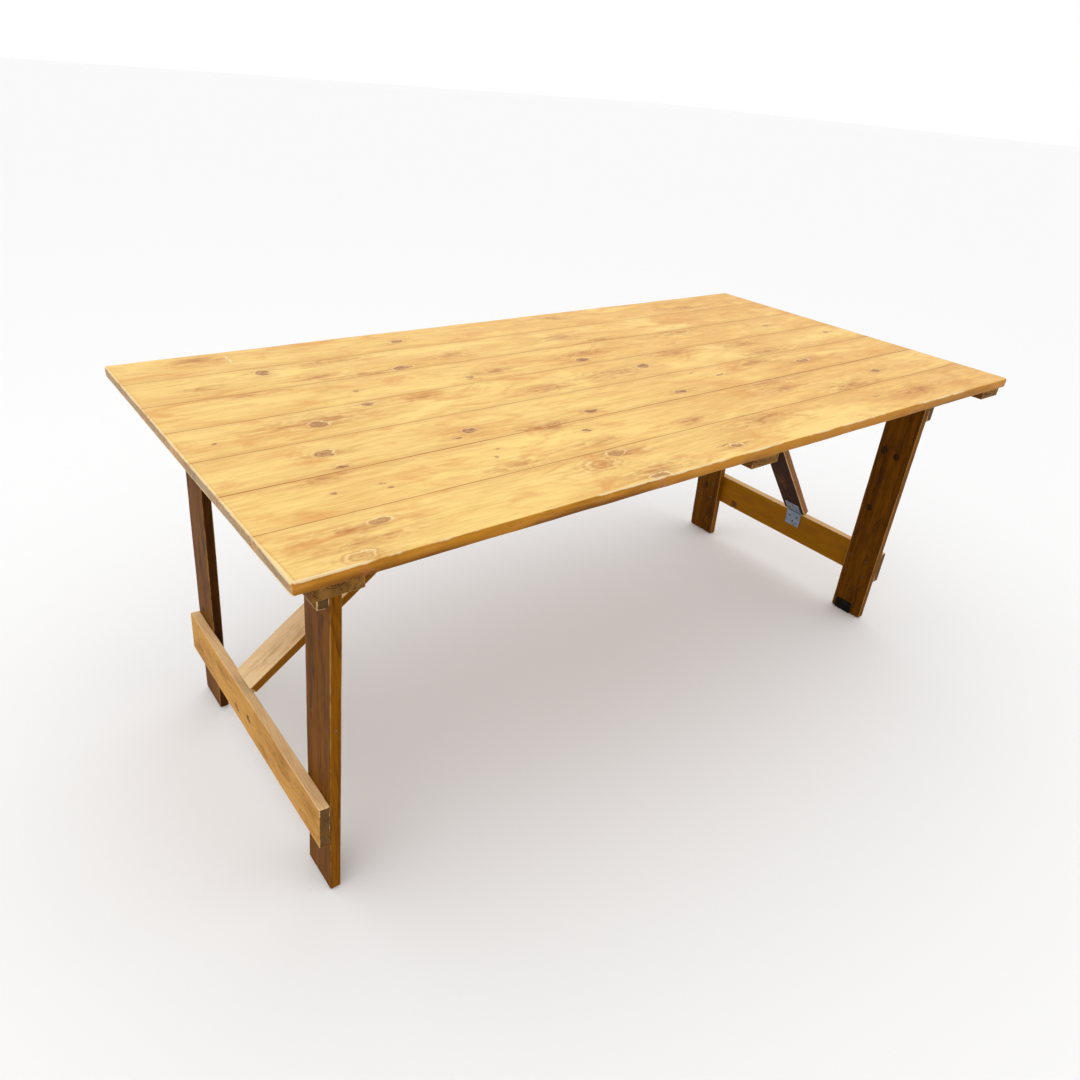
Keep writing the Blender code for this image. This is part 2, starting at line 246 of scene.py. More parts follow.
# what each kind of knot adds: bend, core, pale ring, stain, swirl, pale disc
KINDS = {
    "d": (1.0, 0.95, 0.45, 0.75, 0.20, 0.0),
    "p": (1.0, 0.62, 0.90, 0.70, 0.45, 0.0),
    "s": (0.7, 0.00, 0.00, 1.00, 0.20, 0.0),
    "t": (0.5, 0.80, 0.10, 0.35, 0.00, 0.0),
    "r": (0.9, 0.10, 0.60, 0.45, 0.95, 0.0),
    "slit": (0.0, 0.95, 0.70, 0.10, 0.00, 0.0),
    "w": (0.0, 0.00, 0.00, 0.00, 0.00, 0.9),
}


# ------------------------------------------------------------------ timber
TONES_OF = {"face": 2, "far": 2, "back": 2, "edge": 2, "end": 2, "stain": 1, "smudge_colour": 1, "halo": 1, "core": 1, "core_light": 1, "bare_colour": 1, "seam_colour": 1, "glow_colour": 1}
NUMBERS = {
    "rings": 0.45, "streak": 1.4, "stroke": 0.5, "seam_low": 0.0, "seam_high": 0.0, "fibre": 0.5, "mottle": 0.45, "speck": 0.30, "smudge": 0.6, "arris": 0.003,
    "bare": 0.6, "end_bare": 0.0, "rough": 0.46, "bump": 0.25, "drift": 0.10, "spacing": 0.0042, "cloud": 0.25, "glow": 0.0,
    "long_arris": 0.0022, "corner": 0.0, "top_wear": 0.0, "calm": 0.0,
}


def timber_group():
    """Solid wood: grain, stain, knots, wear and painted shade by face, in a board's own axes."""
    inputs = [("P", VECTOR), ("N", VECTOR), ("Half", VECTOR), ("Offset", VECTOR), ("Pith", VECTOR), ("Wobble", FLOAT), ("Streak", FLOAT), ("Stroke", FLOAT)]
    inputs += [(mask, FLOAT) for mask in MASKS]
    for label, number in TONES_OF.items():
        inputs += [(f"{label}{i}", COLOUR) for i in range(number)]
    inputs += [(label, FLOAT) for label in NUMBERS]
    group, net, given, out = group_of("timber", inputs, [("Colour", COLOUR), ("Roughness", FLOAT), ("Normal", VECTOR)])
    P, Q = given["P"], net.vec("ADD", given["P"], given["Offset"])
    axis, normal, half, pith = net.xyz(P), net.xyz(given["N"]), net.xyz(given["Half"]), net.xyz(given["Pith"])
    bend, core, halo, smudge, swirl = (given[mask] for mask in MASKS)
    wobble, streak = given["Wobble"], given["Streak"]

    # growth rings: distance from a wandering pith line, which gives long
    # cathedrals on the faces and arcs on the end grain
    drift_y = net.noise(net.vec("MULTIPLY", Q, (1.1, 2.0, 2.0)), 1.0, 2.0, 0.5)
    drift_z = net.noise(net.vec("MULTIPLY", net.vec("ADD", Q, (7.3, 1.1, 4.2)), (1.7, 3.0, 3.0)), 1.0, 2.0, 0.5)
    ripple = net.noise(net.vec("MULTIPLY", Q, (9.0, 60.0, 60.0)), 1.0, 2.0, 0.5)
    ring_y = net.math("ADD", axis[1], bend)
    y = net.math("ADD", ring_y, net.math("MULTIPLY", net.math("SUBTRACT", drift_y, 0.5), given["drift"]))
    y = net.math("SUBTRACT", y, pith[1])
    z = net.math("SUBTRACT", net.math("MULTIPLY_ADD", drift_z, 0.07, axis[2]), net.math("ADD", pith[2], 0.035))
    radius = net.math("SQRT", net.math("ADD", net.math("MULTIPLY", y, y), net.math("MULTIPLY", z, z)))
    phase = net.math("MULTIPLY_ADD", ripple, 0.6, net.math("DIVIDE", radius, given["spacing"]))
    late = net.ramp(net.math("FRACT", phase), [(0.0, 0.0), (0.40, 0.12), (0.76, 0.72), (0.90, 1.0), (1.0, 0.05)])
    per_ring = net.noise(net.join(net.math("MULTIPLY", net.math("FLOOR", phase), 3.7), net.math("MULTIPLY", axis[0], 1.6), 0.0), 1.0, 1.0)
    late = net.math("MULTIPLY", late, net.step(per_ring, 0.32, 0.70, 0.15, 1.0))
    fibre = net.noise(net.join(net.math("MULTIPLY", axis[0], 8.0), net.math("MULTIPLY", ring_y, 380.0), net.math("MULTIPLY", axis[2], 380.0)), 1.0, 4.0, 0.62)
    mottle = net.noise(net.vec("MULTIPLY", Q, (7.0, 18.0, 18.0)), 1.0, 5.0, 0.64, 1.0)
    cloud = net.noise(net.vec("MULTIPLY", net.vec("ADD", Q, (3.1, 8.2, 1.7)), (3.4, 10.0, 10.0)), 1.0, 3.0, 0.58, 0.7)
    speck = net.noise(net.vec("MULTIPLY", Q, (46.0, 620.0, 620.0)), 1.0, 2.0, 0.5)
    wear = net.noise(net.vec("MULTIPLY", Q, (38.0, 90.0, 90.0)), 1.0, 5.0, 0.68)
    broad = net.noise(net.vec("MULTIPLY", Q, (7.0, 18.0, 18.0)), 1.0, 3.0, 0.6)

    # colour by face: show face, back, edges and end grain; the back tones are darker than the show face, painted shade
    # on the undersides and inner faces
    along = net.step(net.math("DIVIDE", axis[0], half[0]), -0.8, 0.9)
    tone = [net.mix(along, given[f"face{i}"], given[f"far{i}"]) for i in (0, 1)]
    edge_mask = net.step(net.math("ABSOLUTE", normal[1]), 0.55, 0.85)
    end_mask = net.step(net.math("ABSOLUTE", normal[0]), 0.55, 0.85)
    back_mask = net.step(normal[2], -0.45, -0.8)
    calm = net.math("MULTIPLY", back_mask, given["calm"])
    for label, mask in (("back", back_mask), ("edge", edge_mask), ("end", end_mask)):
        tone = [net.mix(mask, tone[i], given[f"{label}{i}"]) for i in (0, 1)]
    light, dark = tone
    shown = net.math("MULTIPLY", net.math("SUBTRACT", 1.0, edge_mask), net.math("SUBTRACT", 1.0, end_mask))
    shown = net.math("MULTIPLY", shown, net.math("SUBTRACT", 1.0, back_mask))
    glow = net.math("MULTIPLY", net.math("MULTIPLY", net.step(cloud, 0.52, 0.34), shown), given["glow"])
    light = net.mix(glow, light, given["glow_colour0"])

    grain = net.math("MULTIPLY", late, given["rings"])
    grain = net.math("MULTIPLY_ADD", net.math("SUBTRACT", streak, 0.5), given["streak"], grain)
    grain = net.math("MULTIPLY_ADD", net.math("SUBTRACT", given["Stroke"], 0.5), given["stroke"], grain)
    grain = net.math("MULTIPLY_ADD", net.math("SUBTRACT", fibre, 0.5), given["fibre"], grain)
    grain = net.math("MULTIPLY_ADD", net.math("SUBTRACT", cloud, 0.5), given["cloud"], net.math("ADD", grain, 0.12))
    grain = net.math("MULTIPLY_ADD", end_mask, net.math("MULTIPLY", late, 0.4), grain, clamp=True)
    colour = net.mix(grain, light, dark)
    stain = net.math("MULTIPLY", net.step(mottle, 0.48, 0.74), given["mottle"])
    stain = net.math("MULTIPLY", stain, net.math("MULTIPLY_ADD", edge_mask, -0.6, 1.0))
    stain = net.math("MULTIPLY", stain, net.math("MULTIPLY_ADD", calm, -0.85, 1.0))
    colour = net.mix(stain, colour, given["stain0"])
    # the lower part of the top boards' edge faces is darker, in cloudy patches, less towards the far end
    under = net.math("MULTIPLY", net.step(net.math("DIVIDE", axis[2], half[2]), 0.35, -0.8), net.step(cloud, 0.40, 0.60, 0.30, 0.95))
    under = net.math("MULTIPLY", under, net.math("MULTIPLY_ADD", along, -0.4, 1.0))
    under = net.math("MULTIPLY", net.math("MULTIPLY", edge_mask, given["top_wear"]), under)
    colour = net.mix(under, colour, given["edge1"])
    colour = net.mix(net.math("MULTIPLY", net.step(speck, 0.64, 0.74), given["speck"]), colour, dark)

    # knots
    face_only = net.math("SUBTRACT", 1.0, end_mask)
    smudge = net.math("MULTIPLY", smudge, net.math("MULTIPLY_ADD", edge_mask, -0.75, face_only))
    smudge = net.math("MULTIPLY", smudge, net.math("MULTIPLY_ADD", calm, -0.6, 1.0))
    smudge = net.math("MULTIPLY", smudge, given["smudge"])
    colour = net.mix(smudge, colour, given["smudge_colour0"])
    colour = net.mix(net.math("MULTIPLY", swirl, 0.42), colour, given["smudge_colour0"])
    colour = net.mix(net.math("MULTIPLY", net.math("MULTIPLY", halo, shown), 0.75), colour, given["halo0"])
    core_tone = net.mix(net.step(wobble, 0.38, 0.62), given["core0"], given["core_light0"])
    core_shown = net.math("MULTIPLY", face_only, net.math("MULTIPLY_ADD", calm, -0.6, 1.0))
    colour = net.mix(net.math("MULTIPLY", core, core_shown), colour, core_tone)

    # wear along the arrises: how near two faces are at once
    reach = [net.math("SUBTRACT", half[i], net.math("ABSOLUTE", axis[i])) for i in range(3)]
    by_end = net.math("ADD", reach[0], reach[2])
    near = net.math("MINIMUM", by_end, net.math("ADD", reach[0], reach[1]))
    ragged = net.math("ADD", net.math("SUBTRACT", wear, 0.5), net.math("MULTIPLY", net.math("SUBTRACT", broad, 0.5), 0.9))
    ragged = net.math("MULTIPLY", ragged, 3.0)
    width = given["arris"]
    corner = [net.math("ADD", half[i], axis[i]) for i in (0, 1)]
    corner = net.math("SQRT", net.math("ADD", *[net.math("MULTIPLY", c, c) for c in corner]))
    corner = net.math("MULTIPLY", net.step(corner, 0.13, 0.0), given["corner"])
    swell = net.math("MULTIPLY_ADD", corner, 0.55, 1.0)
    by_low = net.math("MULTIPLY_ADD", given["seam_low"], 1.0, net.math("ADD", half[1], axis[1]))
    by_high = net.math("MULTIPLY_ADD", given["seam_high"], 1.0, net.math("SUBTRACT", half[1], axis[1]))
    by_length = net.math("ADD", net.math("MINIMUM", by_low, by_high), reach[2])
    long_wear = net.math("DIVIDE", by_length, net.math("MULTIPLY", given["long_arris"], swell))
    long_wear = net.math("MULTIPLY_ADD", ragged, 0.5, long_wear)
    edge_wear = net.math("MINIMUM", net.math("ADD", net.math("DIVIDE", near, width), ragged), long_wear)
    upper = net.step(net.math("DIVIDE", axis[2], half[2]), 0.0, 0.6)
    upper = net.math("SUBTRACT", 1.0, net.math("MULTIPLY", given["top_wear"], net.math("SUBTRACT", 1.0, upper)))
    bare = net.math("MULTIPLY", net.math("MULTIPLY", net.step(edge_wear, 1.0, 0.5), given["bare"]), upper)
    end_wear = net.math("DIVIDE", by_end, net.math("MULTIPLY", width, swell))
    end_wear = net.math("MULTIPLY_ADD", ragged, 0.45, end_wear)
    bare = net.math("MAXIMUM", bare, net.math("MULTIPLY", net.step(end_wear, 1.7, 0.9), given["end_bare"]))
    groove = net.math("MULTIPLY", net.step(end_wear, 1.7, 2.0), net.step(end_wear, 2.7, 2.2))
    colour = net.mix(net.math("MULTIPLY", groove, net.math("MULTIPLY", given["end_bare"], 0.30)), colour, given["seam_colour0"])
    colour = net.mix(bare, colour, given["bare_colour0"])

    # dirt in the seams
    for side, label in ((-1, "seam_low"), (1, "seam_high")):
        gap = net.math("MULTIPLY_ADD", axis[1], -side, half[1])
        beside = net.math("MULTIPLY_ADD", net.math("SUBTRACT", broad, 0.5), 0.0024, gap)
        dirt = net.math("MULTIPLY", net.step(beside, 0.0017, 0.0004), net.math("MULTIPLY", given[label], net.step(cloud, 0.34, 0.60, 0.80, 1.0)))
        colour = net.mix(net.math("MULTIPLY", dirt, net.step(reach[0], 0.0005, 0.004)), colour, given["seam_colour0"])
        lining = net.math("MULTIPLY_ADD", net.math("SUBTRACT", mottle, 0.60), 0.06, gap)
        lining = net.math("MULTIPLY", net.step(lining, 0.010, 0.0), given[label])
        colour = net.mix(net.math("MULTIPLY", lining, 0.30), colour, given["smudge_colour0"])
    net.put(out["Colour"], colour)

    rough = net.math("MULTIPLY_ADD", net.math("SUBTRACT", broad, 0.5), 0.22, given["rough"])
    rough = net.math("MULTIPLY_ADD", bare, 0.22, rough)
    rough = net.math("MULTIPLY_ADD", net.math("SUBTRACT", fibre, 0.5), 0.16, rough, clamp=True)
    net.put(out["Roughness"], rough)

    height = net.math("MULTIPLY_ADD", fibre, 0.5, net.math("MULTIPLY", late, 0.35))
    height = net.math("MULTIPLY_ADD", core, -0.5, height)
    height = net.math("MULTIPLY_ADD", net.step(speck, 0.66, 0.74), -0.5, height)
    height = net.math("MULTIPLY_ADD", wear, net.math("MULTIPLY_ADD", bare, 0.8, 0.15), height)
    bump = net.new("ShaderNodeBump")
    bump.inputs["Distance"].default_value = 0.0006
    net.put(bump.inputs["Strength"], given["bump"])
    net.put(bump.inputs["Height"], height)
    net.put(out["Normal"], bump.outputs[0])
    return group


KNOT = knot_group()
TIMBER = timber_group()


def timber(name, half, look, knots=(), seed=0, pith=(0.01, -0.05), spacing=0.0042):
    """Solid wood for one board. half is the board's half size."""
    made = bpy.data.materials.new(name)
    made.use_nodes = True
    net = Net(made.node_tree)
    shader = made.node_tree.nodes["Principled BSDF"]
    coords = net.new("ShaderNodeTexCoord")
    P = coords.outputs["Object"]
    axis = net.xyz(P)
    offset = (seed * 3.17 % 11.0, seed * 5.31 % 7.0, seed * 1.73 % 5.0)
    Q = net.vec("ADD", P, offset)
    wobble_node = net.new("ShaderNodeTexNoise")
    net.put(wobble_node.inputs["Vector"], net.vec("MULTIPLY", Q, (60.0, 95.0, 95.0)))
    wobble_node.inputs["Scale"].default_value = 1.0
    wobble_node.inputs["Detail"].default_value = 3.0
    wobble = wobble_node.outputs["Fac"]
    shift = net.vec("MULTIPLY_ADD", wobble_node.outputs["Color"], (0.020, 0.010, 0.0))
    shift.node.inputs[2].default_value = (-0.010, -0.005, 0.0)
    flat = net.vec("ADD", net.vec("MULTIPLY", P, (1.0, 1.0, 0.0)), shift)
    streak = net.noise(net.vec("MULTIPLY", Q, (2.2, 58.0, 58.0)), 1.0, 4.0, 0.62, 0.25)
    stroke = net.noise(net.vec("MULTIPLY", Q, (17.0, 150.0, 150.0)), 1.0, 4.0, 0.62, 0.3)

    masks = [0.0] * 5
    for x, y, rx, ry, kind in knots:
        node = net.new("ShaderNodeGroup", node_tree=KNOT)
        values = [flat, (x, y, 0.0), rx, ry, wobble, stroke, *masks, *KINDS[kind]]
        for socket, value in zip(node.inputs, values):
            net.put(socket, value)
        masks = list(node.outputs)
    wood = net.new("ShaderNodeGroup", node_tree=TIMBER)
    given = wood.inputs
    for label, value in (("P", P), ("N", coords.outputs["Normal"]), ("Half", tuple(half)), ("Offset", offset), ("Pith", (0.0, *pith)), ("Wobble", wobble), ("Streak", streak), ("Stroke", stroke)):
        net.put(given[label], value)
    for label, value in zip(MASKS, masks):
        net.put(given[label], value)
    full = {"glow_colour": look["face"][0], "far": look["face"], "back": look["face"], "seam_colour": srgb(110, 68, 34), "smudge_colour": look["stain"], **look}
    for label, number in TONES_OF.items():
        tones = full[label] if number == 2 else (full[label],)
        for i, tone in enumerate(tones):
            given[f"{label}{i}"].default_value = tone
    for label, value in NUMBERS.items():
        given[label].default_value = spacing if label == "spacing" else full.get(label, value)
    net.put(shader.inputs["Base Color"], wood.outputs["Colour"])
    net.put(shader.inputs["Roughness"], wood.outputs["Roughness"])
    net.put(shader.inputs["Normal"], wood.outputs["Normal"])
    shader.inputs["Specular IOR Level"].default_value = look.get("specular", 0.035)
    return made


# ------------------------------------------------------------------ boards
def wave(seed, count, knots):
    """Smooth repeatable noise from -1 to 1."""
    rng = np.random.default_rng(seed)
    knots = max(4, int(knots))
    points = rng.uniform(-1, 1, knots + 2)
    t = np.linspace(0, knots - 0.001, count)
    i = t.astype(int)
    f = t - i
    f = f * f * (3 - 2 * f)
    return points[i] * (1 - f) + points[i + 1] * f


def rounding(distance, radius):
    """How far a face has dropped at this distance from a rounded end."""
    if radius <= 0:
        return np.zeros_like(distance)
    inside = np.clip(radius - distance, 0, radius)
    return radius - np.sqrt(np.maximum(radius**2 - inside**2, 0))


def board_mesh(name, low, high, slant, radii, ends, seed, wear=0.35, tongue=None, groove=None, pitch=0.011, bow=0.0):
    """A board with rounded, unevenly worn arrises.

    low, high: its corners in its own axes. slant: ((lo, per z), (hi, per z)),
    where its two ends lie. radii: arris radii at (+y -z), (+y +z), (-y +z),
    (-y -z). ends: for each end, how much the top, bottom, +y and -y round over.
    """
    length = slant[1][0] - slant[0][0]
    count = max(8, int(length / pitch))
    near = np.concatenate([0.006 * (1 - np.cos(np.linspace(0, math.pi / 2, 8))), [0.0085, 0.012]])
    middle = np.linspace(0.018, length - 0.018, count)
    s = np.concatenate([near, middle, (length - near)[::-1]])
    total = len(s)
    d = (s, length - s)
    drop = np.zeros((4, total))
    for k, (distance, rounds) in enumerate(zip(d, ends)):
        for row, radius in enumerate(rounds):
            drop[row] += rounding(distance, radius)
    tops = high[2] - drop[0]
    bottoms = low[2] + drop[1]
    rights = high[1] - drop[2]
    lefts = low[1] + drop[3]
    arc = 4
    rows = []

    def rim(radius, key):
        base = radius * (1 + wear * wave(seed * 31 + key, total, total / 7) + wear * 0.6 * wave(seed * 57 + key, total, total / 2.2))
        thin = np.minimum(tops - bottoms, rights - lefts) * 0.49
        return np.minimum(np.maximum(base, radius * 0.25), thin)

    signs = [(1, -1), (1, 1), (-1, 1), (-1, -1)]
    rims = [rim(radius, key) for key, radius in enumerate(radii)]
    corners = []
    for key, (sy, sz) in enumerate(signs):
        r = rims[key]
        cy = (rights - r) if sy > 0 else (lefts + r)
        cz = (tops - r) if sz > 0 else (bottoms + r)
        start = math.radians(-90 + 90 * key)
        corners.append([(cy + r * math.cos(start + math.pi / 2 * i / arc), cz + r * math.sin(start + math.pi / 2 * i / arc)) for i in range(arc + 1)])
    for key in range(4):
        rows += corners[key]
        a, b = corners[key][-1], corners[(key + 1) % 4][0]
        wide = key in (1, 3)
        if key == 0 and tongue:
            base, half_t, reach = tongue
            rows += [(rights, base - half_t + 0 * s), (rights + reach, base - half_t + 0 * s), (rights + reach, base + half_t + 0 * s), (rights, base + half_t + 0 * s)]
        elif key == 2 and groove:
            base, half_t, reach = groove
            rows += [(lefts, base + half_t + 0 * s), (lefts + reach, base + half_t + 0 * s), (lefts + reach, base - half_t + 0 * s), (lefts, base - half_t + 0 * s)]
        else:
            steps = 8 if wide else 2
            span = np.abs(b[0] - a[0]) + np.abs(b[1] - a[1])
            inner = np.concatenate([[0.0], np.linspace(0, 1, steps + 1)[1:-1], [1.0]])
            for j, t in enumerate(inner):
                support = np.clip(0.0018 / np.maximum(span, 1e-5), 0, 0.2)
                f = support if j == 0 else (1 - support if j == len(inner) - 1 else t)
                rows.append((a[0] + (b[0] - a[0]) * f, a[1] + (b[1] - a[1]) * f))
    ys = np.array([row[0] for row in rows])
    zs = np.array([row[1] for row in rows])
    lo = slant[0][0] + slant[0][1] * zs
    hi = slant[1][0] + slant[1][1] * zs
    xs = lo + (hi - lo) * (s / length)[None, :]
    if bow:
        zs = zs + bow * (1 - (2 * s / length - 1) ** 2)[None, :]
    ring = len(rows)
    verts = np.stack([xs.T, ys.T, zs.T], -1).reshape(-1, 3)
    faces = []
    for i in range(total - 1):
        for j in range(ring):
            k = (j + 1) % ring
            faces.append((i * ring + j, (i + 1) * ring + j, (i + 1) * ring + k, i * ring + k))
    faces.append(tuple(range(ring)))
    faces.append(tuple((total - 1) * ring + j for j in reversed(range(ring))))
    mesh = bpy.data.meshes.new(name)
    mesh.from_pydata(verts.tolist(), [], faces)
    shape = bmesh.new()
    shape.from_mesh(mesh)
    bmesh.ops.recalc_face_normals(shape, faces=shape.faces)
    shape.to_mesh(mesh)
    shape.free()
    mesh.shade_smooth()
    mesh.set_sharp_from_angle(angle=math.radians(42))
    return mesh


def place(name, mesh, matrix, body, node=None, material=None, slot=None):
    obj = bpy.data.objects.new(name, mesh)
    scene.collection.objects.link(obj)
    obj.matrix_world = matrix
    if material:
        obj.data.materials.clear()
        obj.data.materials.append(material)
    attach(obj, body)
    if node:
        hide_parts(*([node] if isinstance(node, str) else node))
    return obj


def basis(length, thick):
    """Board axes: X along the grain, Z out of the show face."""
    x, z = Vector(length).normalized(), Vector(thick).normalized()
    y = z.cross(x)
    return Matrix((x, y, z)).transposed().to_4x4()


def local_points(node, matrix):
    inverse = matrix.inverted()
    return np.array([inverse @ v.co for v in NODES[node].data.vertices])


def end_line(points, side, half_z):
    """Where an end of a board lies, as x at mid thickness and slope per z."""
    pick = max if side > 0 else min
    up = pick(p[0] for p in points if p[2] > half_z * 0.5)
    down = pick(p[0] for p in points if p[2] < -half_z * 0.5)
    slope = (up - down) / (2 * half_z)
    return (up + down) / 2, slope


def board(node, axes, body, look, radii, ends, seed, knots=(), slot=None, pith=(0.01, -0.05), spacing=0.0042, wear=0.35, tongue=None, groove=None, trim=(0, 0), bow=0.0, half_y=None):
    """Remakes a CAD board as a worn one, in the CAD board's own place."""
    points = local_points(node, axes)
    low, high = points.min(0), points.max(0)
    centre = (low + high) / 2
    if half_y:  # leaves the tongue out of the board's own width
        low[1], high[1] = half_y
        centre[1] = (low[1] + high[1]) / 2
    matrix = axes @ Matrix.Translation(Vector(centre))
    points = points - centre
    low, high = low - centre, high - centre
    slant = (end_line(points, -1, high[2]), end_line(points, 1, high[2]))
    half = (max(abs(low[0]), abs(high[0])), high[1], high[2])
    mesh = board_mesh(f"{node}_board", low, high, slant, radii, ends, seed, wear, tongue, groove, bow=bow)
    material = timber(f"{node}_wood", half, look, knots, seed, pith, spacing)
    return place(f"{node}_board", mesh, matrix, body, node, material, slot)


# ------------------------------------------------------------------ stains and painted shade
def tint(look, **changes):
    made = dict(look)
    made.update(changes)
    return made


HONEY = {
    "face": (srgb(248, 212, 131), srgb(212, 159, 78)),
    "far": (srgb(243, 195, 112), srgb(204, 138, 62)),
    # painted shade: the back tones darken the top's underside
    "back": (srgb(160, 112, 58), srgb(112, 74, 34)),
    "edge": (srgb(184, 122, 24), srgb(108, 62, 6)),
    "end": (srgb(174, 144, 104), srgb(106, 80, 53)),
    "stain": srgb(220, 154, 82),
    "smudge_colour": srgb(182, 112, 58),
    "halo": srgb(253, 232, 184),
    "core": srgb(136, 84, 62),
    "core_light": srgb(188, 138, 96),
    "bare_colour": srgb(244, 221, 170),
    "glow_colour": srgb(253, 220, 134),
    "glow": 0.6,
    "seam_colour": srgb(156, 84, 12),
    "rings": 0.24,
    "streak": 0.38,
    "stroke": 1.15,
    "fibre": 0.70,
    "mottle": 0.80,
    "smudge": 0.80,
    "arris": 0.0022,
    "bare": 0.0,
    "end_bare": 0.72,
    "rough": 0.46,
    "bump": 0.22,
    "cloud": 1.1,
    "calm": 1.0,
    "specular": 0.12,
}
BROWN = {
    "face": (srgb(116, 68, 8), srgb(62, 33, 2)),
    "back": (srgb(106, 60, 2), srgb(56, 29, 0)),
    "edge": (srgb(130, 78, 2), srgb(68, 37, 0)),
    "end": (srgb(94, 64, 34), srgb(44, 27, 13)),
    "stain": srgb(60, 32, 11),
    "smudge_colour": srgb(40, 20, 8),
    "halo": srgb(136, 86, 38),
    "core": srgb(28, 14, 8),
    "core_light": srgb(54, 30, 15),
    "bare_colour": srgb(192, 148, 84),
    "rings": 0.6,
    "streak": 1.5,
    "stroke": 1.6,
    "fibre": 0.9,
    "mottle": 0.6,
    "arris": 0.0018,
    "bare": 0.40,
    "rough": 0.52,
    "bump": 0.4,
    "cloud": 0.7,
}
RAIL = tint(
    BROWN,
    face=(srgb(208, 154, 76), srgb(140, 90, 30)),
    smudge=0.55,
    rings=0.4,
    streak=0.5,
    stroke=0.45,
    fibre=0.55,
    mottle=0.45,
    cloud=0.55,
    # painted shade: the back tones darken the rails' inner faces, under the table
    back=(srgb(150, 98, 6), srgb(94, 54, 2)),
    edge=(srgb(244, 204, 150), srgb(204, 156, 98)),
    end=(srgb(106, 76, 42), srgb(50, 33, 18)),
    stain=srgb(128, 80, 28),
    smudge_colour=srgb(124, 74, 22),
    halo=srgb(214, 166, 100),
    core=srgb(62, 34, 18),
    core_light=srgb(98, 60, 32),
    bare_colour=srgb(240, 206, 154),
    bare=0.55,
)
STRUT = tint(
    RAIL,
    face=(srgb(242, 208, 160), srgb(196, 150, 98)),
    smudge=0.45,
    # painted shade: the back tones make the struts' lower faces far darker than their upper faces
    back=(srgb(54, 30, 18), srgb(26, 13, 7)),
    edge=(srgb(132, 82, 10), srgb(80, 44, 3)),
    stain=srgb(168, 120, 72),
    smudge_colour=srgb(168, 116, 68),
    mottle=0.30,
    rings=0.22,
    streak=0.45,
    stroke=0.45,
    calm=1.0,
)
UNDER = tint(
    BROWN,
    face=(srgb(128, 84, 38), srgb(80, 48, 18)),
    back=(srgb(112, 70, 26), srgb(66, 38, 10)),
    edge=(srgb(112, 70, 28), srgb(66, 38, 12)),
    end=(srgb(132, 92, 42), srgb(62, 38, 15)),
)

